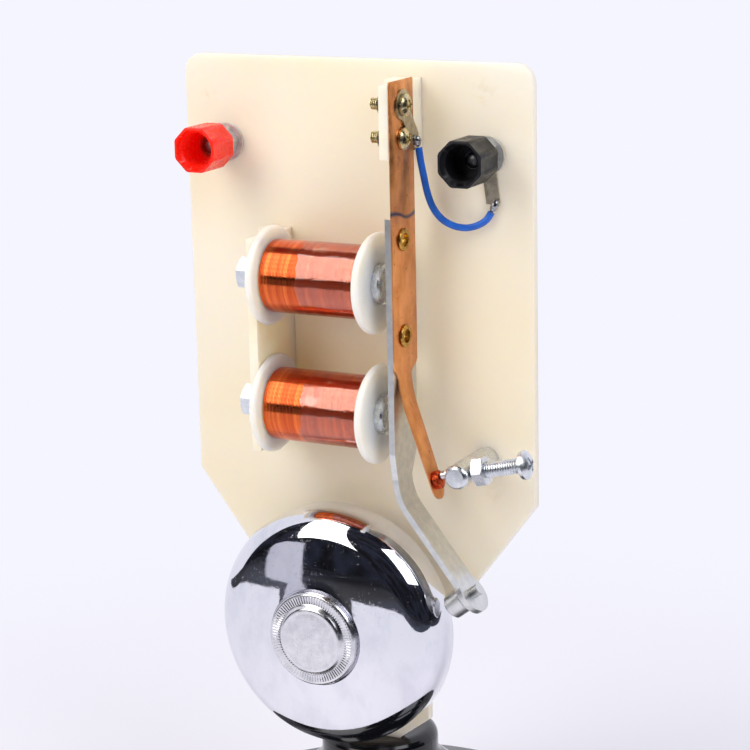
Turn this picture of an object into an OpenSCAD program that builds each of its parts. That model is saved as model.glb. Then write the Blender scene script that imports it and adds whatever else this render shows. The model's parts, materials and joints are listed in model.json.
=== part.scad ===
// Demonstration electric bell: a make-and-break trembler bell on a cream board and a black round foot.
// X runs to the right, Y to the back, Z up. Millimetres. The origin is under the centre of the foot.
// Heights are real Z values; a "reach" is a distance in front of the board's front face.

/* [Board] */
// Width of the board
board_w = 100; // [90:1:110]
// Height of the board's top edge above the table
board_top = 221; // [218:1:226]
// Thickness of the moulded board
board_t = 2.5; // [2:0.1:3]
// Radius of the two upper corners
corner_r = 5; // [2:0.5:8]
// Height at which the lower corners start to be cut away
chamfer_z = 107.5; // [104:0.5:110]
// Width of the tongue below the cut corners
tongue_w = 37.2; // [34:0.2:40]

/* [Foot] */
// Radius of the round foot
foot_r = 59; // [56:0.5:64]
// Height of the foot's outer rim
rim_h = 8; // [7:0.5:9]
// Radius of the neck that holds the board
neck_r = 16; // [15.5:0.1:17]
// Height of the neck's flat top
neck_top = 37.5; // [37:0.1:38]
// Distance from the neck's axis forward to the board's front face
neck_offset = 7; // [6:0.1:8]

/* [Gong] */
// Outer radius of the gong
gong_r = 32.3; // [31:0.1:32.4]
// Wall thickness of the gong
gong_t = 1.2; // [1:0.1:1.4]
// Reach of the gong's open rim
gong_rim = 9.5; // [9:0.1:10]
// Radius of the cap on the gong
cap_r = 12.5; // [11.5:0.1:12.6]

/* [Electromagnet] */
// Radius of the bobbin flanges
flange_r = 13; // [12.5:0.1:13.1]
// Distance between the axes of the two coils
coil_pitch = 34; // [33:0.5:36]
// Turns drawn in the outer layer of each winding
turns = 20; // [8:1:20]
// Diameter of one drawn turn
turn_d = 0.9; // [0.8:0.05:0.9]

/* [Striker] */
// Thickness of the steel armature
armature_t = 1.6; // [1.4:0.1:1.7]
// Width of the armature and of the spring strip
strip_w = 13; // [12:0.5:13]
// Angle of the striker arm from the vertical
arm_tilt = 38; // [37:0.5:38]
// Angle of the contact screw above the horizontal
contact_tilt = 13; // [12:0.5:14]

/* [Terminals] */
// Distance of each terminal from the board's middle
terminal_x = 37.7; // [37:0.1:39]
// Height of the terminals above the table
terminal_z = 198; // [196:0.5:200]

/* [Hidden] */
$fn = 64;

// Small play between pieces that are pushed together, and between pieces that turn in each other
seat = 0.02;
play = 0.05;
away = 0.3;
eps = 0.01;

// Foot and board
slot_floor = 20;
tenon_w = 19.4;
shoulder_top = 44.3;
shoulder_bottom = neck_top + 0.1;
chamfer_run = 0.754;
foot_wall = 2.6;
board_y = -neck_offset;

// Gong: skirt, knuckle and crown of the dome, and the dished seat in its middle
gong_x = -1.3;
gong_z = 73.5;
skirt_l = 5.85;
knuckle_r = 8.3;
crown_r = 110;
dish_r = 13;
dish_depth = 0.9;
crown_y = sqrt(pow(crown_r - knuckle_r, 2) - pow(gong_r - knuckle_r, 2)) - skirt_l;
crown_top = crown_r - crown_y;
dish_reach = gong_rim + crown_top - dish_depth;
post_r = 4;
post_stud_r = 3;
cap_ring_h = 2.4;
cap_face_r = 8.6;
cap_face_h = 1.1;

// Electromagnet
coil_reach = 13.2;
coil_mid_z = 149;
coil_z = [coil_mid_z + coil_pitch / 2, coil_mid_z - coil_pitch / 2];
bracket_t = 2.5;
coil_bracket_x = -21.5;
coil_bracket_z0 = 120.3;
coil_bracket_h = 56;
coil_bracket_reach = 20;
bobbin_x0 = coil_bracket_x + bracket_t;
bobbin_x1 = 13.4;
flange_t = 2;
barrel_r = 5.6;
core_r = 4.5;
core_head_r = 5.2;
core_end = 15.6;
m5_r = 2.5;
m5_nut_w = 8;
m5_nut_h = 4;
washer_t = 1;

// Winding: one tube that runs along the coil's axis, winds round it, and runs out again
turn_r = turn_d / 2;
wind_r = 9.5 - turn_r;
loop_steps = 18;
tube_sides = 6;
wind_x0 = bobbin_x0 + flange_t;
wind_x1 = bobbin_x1 - flange_t;
wind_pitch = (wind_x1 - wind_x0 - 2 * turn_d) / turns;
inner_layers_r = (wind_r - turn_r) * cos(180 / loop_steps) - seat;
tape_x0 = -6;
tape_t = 0.12;

// Spring clamp
spring_x = 19.6;
spring_t = 0.4;
strip_reach = 12.5;
spring_bracket_z0 = 198.5;
spring_bracket_z1 = 216.8;
spring_bracket_reach = 19.5;
clamp_t = 2.4;
foot_w = 7;
foot_reach = 7;
clamp_z = [211.4, 203];
clamp_screw_end = 11.5;
clamp_reach = 12.3;
m3_r = 1.5;
m3_nut_w = 5.5;
m3_nut_h = 2.4;
m3_head_r = 2.8;
m3_head_h = 2;
lug_t = 0.5;
strip_top = 217.6;
flat_bottom = 145.2;
tongue_reach = 13.6;
tongue_bend_r = 34;
tongue_tilt = 20;

// Armature: a flat plate behind the spring, a narrower arm bent outward, and a round end
armature_top = 183.6;
armature_bottom = 119;
arm_w = 8;
arm_reach = 13.5;
arm_bend_r = 15;
arm_end = [37.9, 86.9];
arm_end_r = 5.3;
armature_x = spring_x - armature_t;
arm_mid_x = spring_x - armature_t / 2;
arm_bend_z = arm_end[1] + (arm_end[0] - arm_mid_x) / tan(arm_tilt);
arm_length = (arm_end[0] - arm_mid_x) / sin(arm_tilt);
hammer_r = 3.35;
hammer_l = 6.4;
hammer_rivet_r = 1.5;
eyelet_z = [177.7, 153];
eyelet_reach = 13;
eyelet_r = 2.9;
eyelet_bore_r = 1.75;
eyelet_hole_r = eyelet_bore_r + 0.4 + seat;

// Contact: the rivet on the tongue, and the line of the contact screw, which meets it above its middle
rivet_at = [28.4, 116.2];
rivet_reach = 14.2;
rivet_h = 2.2;
rivet_r = 2.4;
rivet_dome_r = 4;
contact_gap = 0.02;
screw_at = rivet_at + [0, 1.1];
screw_dir = [cos(contact_tilt), sin(contact_tilt)];
dome_middle = rivet_at
    + (spring_t / 2 + rivet_h - rivet_dome_r) * [cos(tongue_tilt), sin(tongue_tilt)];
tip_h = 1;
tip_r = 1.2;
tip_start = (dome_middle - screw_at) * screw_dir + rivet_dome_r + contact_gap;
post_x = 36.6;
post_s = (post_x - screw_at[0]) / screw_dir[0];
post_z = screw_at[1] + post_s * screw_dir[1];
contact_post_r = 3.2;
contact_post_reach = 19.8;
m4_r = 2;
m4_nut_w = 7;
m4_nut_h = 3.2;
m4_head_r = 3.7;
m4_head_h = 2.6;
nut_s = post_s + 3.55;
head_s = post_s + 16.5;

// Terminals: the black one has a lug under its washer, so all in front of the lug sits further out
terminal_xs = [-terminal_x, terminal_x];
terminal_starts = [0, lug_t];
terminal_washer_t = 0.9;
terminal_washer_r = 4.9;
nut_front = terminal_washer_t + m4_nut_h;
knob_grip_start = 6.8;
knob_neck_r = 4.3;
knob_end = 17.2;
knob_r = 6.35;
knob_clip_r = 6.2;
knob_cup_r = 4.25;
knob_mouth_r = 5.3;
knob_floor = 4;
flute_r = 11.8;
flute_depth = 0.25;
insert_r = 3;
stud_front = 11;
stud_rear = 10;
black_lug_turn = 6.6;
black_lug_l = 12.2;
lug_tail_w = 3.7;

// Blue wire: [x, reach, z] of its middle line, from the spring's lug to the black terminal's lug
wire_d = 1.8;
wire_sides = 8;
wire_route = [
    [21.5, 6.2, 200], [22, 6.2, 196.6], [22.7, 6, 192.7], [23.5, 5.8, 188.7],
    [24.8, 5.5, 185], [27, 5.1, 182.1], [30, 4.5, 180.4], [33.2, 3.6, 179.9],
    [36, 2.6, 180.6], [38, 1.8, 182], [39.1, 1.5, 183.8]];

// Points on an arc in the plane, from angle a0 to a1
function arc(c, r, a0, a1, steps) =
    [for (i = [0:steps]) let (a = a0 + (a1 - a0) * i / steps) [c[0] + r * cos(a), c[1] + r * sin(a)]];

// Sweep of a round tube along a line of points
function unit(v) = v / norm(v);
function tangent(path, i) =
    unit(path[min(i + 1, len(path) - 1)] - path[max(i - 1, 0)]);
function frames(path, i = 1, done = [[0, 0, 0]]) =
    let (
        t = tangent(path, i - 1),
        guess = i == 1 ? (abs(t[2]) < 0.8 ? [0, 0, 1] : [0, 1, 0]) : done[i - 1],
        n = unit(guess - (guess * t) * t),
        next = concat(i == 1 ? [] : done, [n]))
    i > len(path) ? done : frames(path, i + 1, i == 1 ? [n, n] : next);
function ring(path, ns, i, r, sides) =
    let (t = tangent(path, i), n = unit(ns[i + 1] - (ns[i + 1] * t) * t), b = cross(t, n))
    [for (k = [0:sides - 1]) path[i] + r * (cos(360 * k / sides) * n + sin(360 * k / sides) * b)];
module tube(path, r, sides) {
    ns = frames(path);
    rings = len(path);
    points = concat(
        [for (i = [0:rings - 1]) each ring(path, ns, i, r, sides)],
        [path[0], path[rings - 1]]);
    first = rings * sides;
    walls = [for (i = [0:rings - 2], k = [0:sides - 1])
        let (a = i * sides + k, b = i * sides + (k + 1) % sides)
        each [[a, a + sides, b], [b, a + sides, b + sides]]];
    start = [for (k = [0:sides - 1]) [first, k, (k + 1) % sides]];
    finish = [for (k = [0:sides - 1])
        [first + 1, (rings - 1) * sides + (k + 1) % sides, (rings - 1) * sides + k]];
    polyhedron(points, concat(walls, start, finish), convexity = 10);
}

// Places: a piece that points forward out of the board or back from it, along X, or along the contact screw
module on_board() { translate([0, board_y, 0]) children(); }
module forward(x, reach, z) { translate([x, -reach, z]) rotate([90, 0, 0]) children(); }
module behind(x, depth, z) { mirror([0, 1, 0]) forward(x, board_t + depth, z) children(); }
module along_x(x, reach, z) { translate([x, -reach, z]) rotate([0, 90, 0]) children(); }
module along_contact(s) {
    translate([screw_at[0] + s * screw_dir[0], -rivet_reach, screw_at[1] + s * screw_dir[1]])
        rotate([0, 90 - contact_tilt, 0]) children();
}

// Fasteners, standing on their bearing face with the shank pointing down
module hex_nut(w, h, bore_r) {
    difference() {
        intersection() {
            cylinder(r = w / sqrt(3), h = h, $fn = 6);
            rotate_extrude() polygon([
                [0, 0], [w / 2 - 0.1, 0], [w / sqrt(3), 0.35], [w / sqrt(3), h - 0.35],
                [w / 2 - 0.1, h], [0, h]]);
        }
        translate([0, 0, -1]) cylinder(r = bore_r, h = h + 2);
    }
}
module cross_recess(size, depth) {
    for (a = [0, 90]) rotate([0, 0, a]) translate([-size / 2, -size / 9, -depth])
        cube([size, size / 4.5, depth + 1]);
}
module pan_screw(shank_r, shank_l, head_r, head_h) {
    edge = head_h * 0.45;
    dome = (pow(head_r, 2) + pow(head_h - edge, 2)) / (2 * (head_h - edge));
    difference() {
        rotate_extrude() polygon(concat(
            [[0, -shank_l], [shank_r - 0.3, -shank_l], [shank_r, -shank_l + 0.3], [shank_r, 0],
             [head_r, 0], [head_r, edge]],
            arc([0, head_h - dome], dome, acos(head_r / dome), 90, 6)));
        translate([0, 0, head_h]) cross_recess(head_r * 1.05, head_h * 0.5);
    }
}
module washer(outer_r, bore_r, t) {
    difference() {
        cylinder(r = outer_r, h = t);
        translate([0, 0, -1]) cylinder(r = bore_r, h = t + 2);
    }
}

// Foot: a moulded dish with a rounded rim, a trumpet-shaped neck and ribs below
foot_outer = concat(
    [[0, 0.8], [foot_r - 1.2, 0.8], [foot_r - 1.2, 0], [foot_r, 0]],
    arc([foot_r - 2, rim_h - 2], 2, 0, 80, 4),
    arc([44.5, 24], 14, 275, 235, 6),
    arc([neck_r + 4, 31.5], 4, 235, 180, 5),
    arc([neck_r - 3.2, neck_top - 3.2], 3.2, 0, 90, 6),
    [[0, neck_top]]);
foot_inner = [
    [0, 0], [foot_r - foot_wall - 0.5, 0], [foot_r - foot_wall - 1, rim_h - foot_wall],
    [43, 10 - foot_wall], [33.5, 12.8 - foot_wall], [22, 20 - foot_wall], [12, 14], [0, 14]];
rib_t = 1.8;
rib_ring_r = 35.5;
boss_r = 15.5;
module foot() {
    color("#17181c") difference() {
        rotate_extrude($fn = 128) polygon(foot_outer);
        difference() {
            rotate_extrude($fn = 128) polygon(foot_inner);
            for (a = [45:90:315]) rotate([0, 0, a]) translate([0, -rib_t / 2, 1]) cube([foot_r, rib_t, 30]);
            translate([0, 0, 1]) cylinder(r = boss_r, h = 30);
            translate([0, 0, 1]) difference() {
                cylinder(r = rib_ring_r + rib_t / 2, h = 30);
                cylinder(r = rib_ring_r - rib_t / 2, h = 30);
            }
        }
        translate([-tenon_w / 2 - seat, board_y - seat, slot_floor])
            cube([tenon_w + 2 * seat, board_t + 2 * seat, 30]);
    }
}

// Board: one outline with rounded upper corners, cut lower corners and a shouldered tenon
half_w = board_w / 2;
tongue_top = chamfer_z - (half_w - tongue_w / 2) / chamfer_run;
board_half = concat(
    [[tenon_w / 2, slot_floor + seat], [tenon_w / 2, shoulder_bottom],
     [tongue_w / 2, shoulder_top], [tongue_w / 2, tongue_top], [half_w, chamfer_z]],
    arc([half_w - corner_r, board_top - corner_r], corner_r, 0, 90, 8));
module board() {
    color("#f3ead8") on_board() difference() {
        translate([0, board_t, 0]) rotate([90, 0, 0]) linear_extrude(board_t) polygon(concat(
            board_half,
            [for (i = [len(board_half) - 1:-1:0]) [-board_half[i][0], board_half[i][1]]]));
        board_hole(gong_x, gong_z, post_stud_r + 0.1);
        board_hole(post_x, post_z, m4_r + 0.1);
        for (x = terminal_xs) board_hole(x, terminal_z, m4_r + 0.1);
        for (z = coil_screw_z) board_hole(coil_screw_x, z, m3_r + 0.1);
        for (z = spring_screw_z) board_hole(spring_screw_x, z, m3_r + 0.1);
    }
}
module board_hole(x, z, r) { forward(x, -board_t - 1, z) cylinder(r = r, h = board_t + 2); }

// Gong, its post, nut and cap
module dome(r, skirt, knuckle, crown, bottom) {
    a = asin((r - knuckle) / (crown - knuckle));
    top = -skirt + sqrt(pow(crown - knuckle, 2) - pow(r - knuckle, 2));
    polygon(concat(
        [[0, bottom], [r, bottom]],
        arc([r - knuckle, skirt], knuckle, 0, 90 - a, 10),
        arc([0, -top], crown, 90 - a, 90, 6)));
}
module dish_cut(depth) {
    polygon([[0, crown_top - depth], [dish_r - 0.4, crown_top - depth], [dish_r + 0.2, crown_top + 1],
        [0, crown_top + 1]]);
}
module gong() {
    color("#d4d6da") on_board() forward(gong_x, gong_rim, gong_z) rotate_extrude($fn = 128) difference() {
        dome(gong_r, skirt_l, knuckle_r, crown_r, 0);
        difference() {
            dome(gong_r - gong_t, skirt_l, knuckle_r - gong_t, crown_r - gong_t, -1);
            translate([0, crown_top - dish_depth - gong_t]) square([dish_r + 0.8, 5]);
        }
        dish_cut(dish_depth);
        translate([0, -2]) square([post_stud_r + 0.1, crown_top + 4]);
    }
}
module gong_post() {
    color("#b9bcc0") on_board() {
        forward(gong_x, 0, gong_z) cylinder(r = 6.5, h = 1.5);
        forward(gong_x, 0, gong_z) cylinder(r = post_r, h = dish_reach - gong_t - seat);
        forward(gong_x, -board_t - 7, gong_z) cylinder(r = post_stud_r, h = board_t + 7 + dish_reach + 2.2);
    }
}
module gong_post_nut() {
    color("#b9bcc0") on_board() behind(gong_x, 0, gong_z) {
        washer(7, post_stud_r + seat, 1.2);
        translate([0, 0, 1.2]) hex_nut(10, 4.8, post_stud_r + seat);
    }
}
module gong_cap() {
    color("#dcdde0") on_board() forward(gong_x, dish_reach, gong_z) difference() {
        rotate_extrude() polygon(concat(
            [[0, 0], [cap_r - 0.3, 0], [cap_r, 0.4], [cap_r, cap_ring_h - 0.7]],
            arc([cap_r - 0.7, cap_ring_h - 0.7], 0.7, 0, 90, 4),
            [[cap_face_r + 1.2, cap_ring_h - 0.25], [cap_face_r, cap_ring_h + cap_face_h - 0.5]],
            arc([0, cap_ring_h + cap_face_h - 60], 60, 82, 90, 4)));
        translate([0, 0, -1]) cylinder(r = post_stud_r + seat, h = 1 + 2.4);
    }
}

// Electromagnet: upright bracket, cores with threaded ends, bobbins, windings and tape
coil_screw_x = coil_bracket_x - 1.2;
coil_screw_z = [coil_bracket_z0 + 11, coil_bracket_z0 + 45];
module coil_bracket() {
    z0 = coil_bracket_z0;
    color("#e9e7e6") on_board() difference() {
        union() {
            translate([coil_bracket_x, -coil_bracket_reach, z0])
                cube([bracket_t, coil_bracket_reach, coil_bracket_h]);
            translate([coil_bracket_x - 4.5, -5.5, z0]) cube([4.5 + bracket_t, 5.5, coil_bracket_h]);
            translate([coil_bracket_x, 0, z0 + 26.5]) linear_extrude(3)
                polygon([[1, -5], [1, -13], [0, -13], [-4.5, -5.5], [-4.5, -5]]);
        }
        for (z = coil_z) along_x(coil_bracket_x - 6, coil_reach, z) cylinder(r = m5_r + 0.1, h = 12);
        for (z = coil_screw_z) forward(coil_screw_x, -1, z) cylinder(r = 1.45 + seat, h = 6.2);
    }
}
module coil_bracket_screws() {
    color("#c9c6bd") on_board() for (z = coil_screw_z)
        behind(coil_screw_x, 0, z) pan_screw(1.45, 7.2, m3_head_r, m3_head_h);
}
module core(z) {
    color("#9a9da1") on_board() along_x(0, coil_reach, z) rotate_extrude() polygon([
        [0, core_end], [core_head_r - 0.5, core_end], [core_head_r, core_end - 0.5],
        [core_head_r, bobbin_x1 + seat], [core_r, bobbin_x1 + seat], [core_r, bobbin_x0],
        [m5_r, bobbin_x0], [m5_r, coil_bracket_x - washer_t - m5_nut_h - 0.5],
        [m5_r - 0.4, coil_bracket_x - washer_t - m5_nut_h - 0.9],
        [0, coil_bracket_x - washer_t - m5_nut_h - 0.9]]);
}
module upper_core() { core(coil_z[0]); }
module lower_core() { core(coil_z[1]); }
module core_washers() {
    color("#c4c6c9") on_board() for (z = coil_z)
        along_x(coil_bracket_x - washer_t, coil_reach, z) washer(5, m5_r + seat, washer_t);
}
module core_nuts() {
    color("#c4c6c9") on_board() for (z = coil_z)
        along_x(coil_bracket_x - washer_t - m5_nut_h, coil_reach, z) rotate([0, 0, 12])
            hex_nut(m5_nut_w, m5_nut_h, m5_r + seat);
}
module bobbin(z) {
    color("#f4f1ea") on_board() along_x(0, coil_reach, z) rotate_extrude($fn = 96) difference() {
        union() {
            for (x = [bobbin_x0, bobbin_x1 - flange_t]) {
                translate([0, x]) square([flange_r - flange_t / 2, flange_t]);
                translate([flange_r - flange_t / 2, x + flange_t / 2]) circle(r = flange_t / 2, $fn = 24);
            }
            translate([0, bobbin_x0]) square([barrel_r, bobbin_x1 - bobbin_x0]);
        }
        translate([-20, bobbin_x0 - 1]) square([20 + core_r + seat, bobbin_x1 - bobbin_x0 + 2]);
    }
}
module upper_bobbin() { bobbin(coil_z[0]); }
module lower_bobbin() { bobbin(coil_z[1]); }

// Each winding is one unbroken tube: a straight lead, the turns, and a straight lead out
wind_steps = turns * loop_steps;
wind_path = concat(
    [[wind_r, 0, wind_x0]],
    [for (i = [0:wind_steps]) let (a = 360 * i / loop_steps)
        [wind_r * cos(a), wind_r * sin(a), wind_x0 + turn_d + wind_pitch * i / loop_steps]],
    [[wind_r, 0, wind_x1]]);
wind_gap = min([for (i = [0:2 * loop_steps], j = [i + loop_steps / 2:i + 2 * loop_steps])
    norm(wind_path[i] - wind_path[j])]) - turn_d;
echo(winding_least_gap_mm = wind_gap);
module winding(z) {
    color("#c8592a") on_board() along_x(0, coil_reach, z) {
        translate([0, 0, wind_x0]) washer(inner_layers_r, barrel_r + seat, wind_x1 - wind_x0);
        tube(wind_path, turn_r, tube_sides);
    }
}
module upper_winding() { winding(coil_z[0]); }
module lower_winding() { winding(coil_z[1]); }
module tape(z) {
    r = wind_r + turn_r + seat;
    color([0.85, 0.6, 0.4, 0.4]) on_board() along_x(tape_x0, coil_reach, z)
        washer(r + tape_t, r, wind_x1 - tape_x0 - seat);
}
module upper_tape() { tape(coil_z[0]); }
module lower_tape() { tape(coil_z[1]); }

// Spring clamp: upright bracket, two screws with washers and nuts, and the solder lug
spring_screw_x = spring_x - clamp_t - 0.9;
spring_screw_z = [spring_bracket_z0 + 4, spring_bracket_z1 - 4];
module spring_bracket() {
    h = spring_bracket_z1 - spring_bracket_z0;
    color("#eceaea") on_board() difference() {
        union() {
            translate([spring_x - clamp_t, -spring_bracket_reach, spring_bracket_z0])
                cube([clamp_t, spring_bracket_reach, h]);
            translate([spring_x - foot_w, -foot_reach, spring_bracket_z0]) cube([foot_w, foot_reach, h]);
        }
        for (z = clamp_z) along_x(spring_x - 8, clamp_reach, z) cylinder(r = m3_r + seat, h = 12);
        for (z = spring_screw_z) forward(spring_screw_x, -1, z) cylinder(r = 1.45 + seat, h = 6.8);
    }
}
module spring_bracket_screws() {
    color("#c9c6bd") on_board() for (z = spring_screw_z)
        behind(spring_screw_x, 0, z) pan_screw(1.45, 7.8, m3_head_r, m3_head_h);
}
module clamp_screws() {
    color("#c8b988") on_board() for (i = [0, 1])
        along_x(spring_x + spring_t + (i == 0 ? lug_t : 0), clamp_reach, clamp_z[i])
            pan_screw(m3_r, spring_x + spring_t + (i == 0 ? lug_t : 0) - clamp_screw_end,
                m3_head_r, m3_head_h);
}
module clamp_washers() {
    color("#c8b988") on_board() for (z = clamp_z)
        along_x(spring_x - clamp_t - 0.5, clamp_reach, z) washer(3.4, m3_r + seat, 0.5);
}
module clamp_nuts() {
    color("#c8b988") on_board() for (z = clamp_z)
        along_x(spring_x - clamp_t - 0.5 - m3_nut_h, clamp_reach, z)
            hex_nut(m3_nut_w, m3_nut_h, m3_r + seat);
}
// Flat pieces that lie against the spring are drawn as [reach, z] outlines
module against_spring(x, t) {
    translate([x, 0, 0]) rotate([90, 0, 90]) linear_extrude(t) mirror([1, 0]) children();
}
module spring_lug() {
    color("#b8b6ae") on_board() against_spring(spring_x + spring_t, lug_t) difference() {
        polygon(concat(
            arc([clamp_reach, clamp_z[0]], 3.9, -56, 188, 24),
            [[8, 208.9], [6.5, 206.7], [4.2, 203.6], [3.8, 201.7], [4.2, 199.4], [7, 199.4],
             [7.5, 201.3], [8.2, 203.7], [11.2, 205.6], [12.6, 207.5]]));
        translate([clamp_reach, clamp_z[0]]) circle(r = m3_r + seat);
    }
}

// A wide ribbon seen edge-on in XZ: flat from z_top down to its bend, then a straight run of length l
module ribbon(x, z_top, z_bend, r, tilt, l, t) {
    run = r * tan(tilt / 2);
    end = [l * sin(tilt), -l * cos(tilt)];
    side = t / 2 * [cos(tilt), sin(tilt)];
    translate([x, 0, z_bend]) rotate([90, 0, 0]) linear_extrude(30) polygon(concat(
        [[-t / 2, z_top - z_bend]],
        arc([r, run], r + t / 2, 180, 180 + tilt, 10),
        [end - side, end + side],
        arc([r, run], r - t / 2, 180 + tilt, 180, 10),
        [[t / 2, z_top - z_bend]]));
}

// Contact spring: a flat copper strip whose lower end is a narrow tongue, bent away from the armature
tongue_mid_x = spring_x + spring_t / 2;
tongue_bend_z = rivet_at[1] + (rivet_at[0] - tongue_mid_x) / tan(tongue_tilt);
tongue_end_r = 3;
tongue_end_l = 4.9;
tongue_half_w = 3.4;
tongue_l = (rivet_at[0] - tongue_mid_x) / sin(tongue_tilt) + tongue_end_l;
tongue_end_z = rivet_at[1] - (tongue_end_l - tongue_end_r) * cos(tongue_tilt);
module contact_spring() {
    color("#c58450") on_board() difference() {
        intersection() {
            ribbon(tongue_mid_x, strip_top, tongue_bend_z, tongue_bend_r, tongue_tilt, tongue_l, spring_t);
            against_spring(spring_x - 5, 30) polygon(concat(
                [[strip_reach - strip_w / 2, strip_top + 1], [strip_reach + strip_w / 2, strip_top + 1],
                 [strip_reach + strip_w / 2, flat_bottom],
                 [tongue_reach + tongue_half_w, flat_bottom - 2]],
                arc([rivet_reach, tongue_end_z], tongue_end_r, 0, -180, 12),
                [[tongue_reach - 3.8, flat_bottom - 2], [strip_reach - strip_w / 2, flat_bottom]]));
        }
        for (z = clamp_z) along_x(spring_x - 2, clamp_reach, z) cylinder(r = m3_r + seat, h = 4);
        for (z = eyelet_z) along_x(spring_x - 1, eyelet_reach, z) cylinder(r = eyelet_hole_r, h = 4);
        on_tongue() translate([0, 0, -4]) cylinder(r = 1.2 + seat, h = 8);
    }
}

// Armature with its bent arm, the two eyelets, the rivet and the hammer
module armature() {
    color("#a9adb3") on_board() difference() {
        union() {
            intersection() {
                ribbon(arm_mid_x, armature_top, arm_bend_z, arm_bend_r, arm_tilt, arm_length, armature_t);
                against_spring(armature_x - 5, 30) polygon([
                    [strip_reach - strip_w / 2, armature_top + 1],
                    [strip_reach + strip_w / 2, armature_top + 1],
                    [strip_reach + strip_w / 2, armature_bottom + 4],
                    [arm_reach + arm_w / 2, armature_bottom - 3], [arm_reach + arm_w / 2, 60],
                    [arm_reach - arm_w / 2, 60], [arm_reach - arm_w / 2, armature_bottom - 3],
                    [strip_reach - strip_w / 2, armature_bottom + 4]]);
            }
            on_arm_end() translate([0, 0, -armature_t / 2]) cylinder(r = arm_end_r, h = armature_t);
        }
        for (z = eyelet_z) along_x(spring_x - 3, eyelet_reach, z) cylinder(r = eyelet_hole_r, h = 4);
        on_arm_end() translate([0, 0, -3]) cylinder(r = hammer_rivet_r + seat, h = 6);
    }
}
// Centre of the arm's round end, with local Z square to the arm and away from the gong
module on_arm_end() {
    translate([arm_end[0], -arm_reach, arm_end[1]]) rotate([0, 90 - arm_tilt, 0]) children();
}
module eyelets() {
    color("#c9a04a") on_board() for (z = eyelet_z)
        along_x(armature_x, eyelet_reach, z) rotate_extrude($fn = 48) difference() {
            union() {
                translate([0, -0.35]) square([eyelet_r - 0.2, 0.35 - seat / 2]);
                translate([0, -0.3]) square([eyelet_bore_r + 0.4, armature_t + spring_t + 0.6]);
                translate([0, armature_t + spring_t + seat / 2]) square([eyelet_r - 0.35, 0.7]);
                translate([eyelet_r - 0.35, armature_t + spring_t + 0.35 + seat / 2])
                    circle(r = 0.35, $fn = 16);
            }
            translate([-5, -2]) square([5 + eyelet_bore_r, 10]);
        }
}
module on_tongue() {
    translate([rivet_at[0], -rivet_reach, rivet_at[1]]) rotate([0, 90 - tongue_tilt, 0]) children();
}
module contact_rivet() {
    top = spring_t / 2 + rivet_h;
    color("#8d3b22") on_board() on_tongue() rotate_extrude() polygon(concat(
        [[0, -spring_t / 2 - 1], [1.3, -spring_t / 2 - 1], [1.9, -spring_t / 2 - 0.6],
         [1.9, -spring_t / 2 - seat / 2], [1.2, -spring_t / 2 - seat / 2], [1.2, spring_t / 2 + seat / 2],
         [rivet_r, spring_t / 2 + seat / 2]],
        arc([0, top - rivet_dome_r], rivet_dome_r, acos(rivet_r / rivet_dome_r), 90, 6)));
}
module hammer() {
    color("#c3c6ca") on_board() on_arm_end() rotate_extrude() polygon([
        [0, -armature_t / 2 - hammer_l], [hammer_r - 0.6, -armature_t / 2 - hammer_l],
        [hammer_r, -armature_t / 2 - hammer_l + 0.6], [hammer_r, -armature_t / 2 - 1.4],
        [hammer_r - 0.7, -armature_t / 2 - 1], [hammer_r - 0.7, -armature_t / 2 - seat],
        [hammer_rivet_r, -armature_t / 2 - seat], [hammer_rivet_r, armature_t / 2],
        [hammer_rivet_r - 0.4, armature_t / 2 + 0.3], [0, armature_t / 2 + 0.3]]);
}

// Contact post, its nut behind the board, and the adjustable contact screw through it
module contact_post() {
    color("#babdc1") on_board() difference() {
        union() {
            forward(post_x, 0, post_z) rotate_extrude() polygon(concat(
                [[0, 0], [contact_post_r, 0], [contact_post_r, contact_post_reach - 1.4]],
                arc([contact_post_r - 1.4, contact_post_reach - 1.4], 1.4, 10, 70, 4),
                [[0, contact_post_reach]]));
            forward(post_x, -board_t - 6, post_z) cylinder(r = m4_r, h = board_t + 6.5);
        }
        along_contact(post_s - 6) cylinder(r = m4_r + play, h = 12);
    }
}
module contact_post_nut() {
    color("#babdc1") on_board() behind(post_x, 0, post_z) {
        washer(4.5, m4_r + seat, 0.8);
        translate([0, 0, 0.8]) hex_nut(m4_nut_w, m4_nut_h, m4_r + seat);
    }
}
module lock_nut() {
    color("#d0d2d5") on_board() along_contact(nut_s) rotate([0, 0, 30])
        hex_nut(m4_nut_w, m4_nut_h, m4_r + play);
}
module contact_screw() {
    color("#c6c8cc") on_board() difference() {
        along_contact(head_s) pan_screw(m4_r, head_s - tip_start - tip_h, m4_head_r, m4_head_h);
        along_contact(tip_start) cylinder(r = tip_r + seat, h = tip_h + 1.5);
    }
}
module contact_tip() {
    color("#e3e3e6") on_board() along_contact(tip_start) cylinder(r = tip_r, h = tip_h + 1.5 - seat);
}

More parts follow.
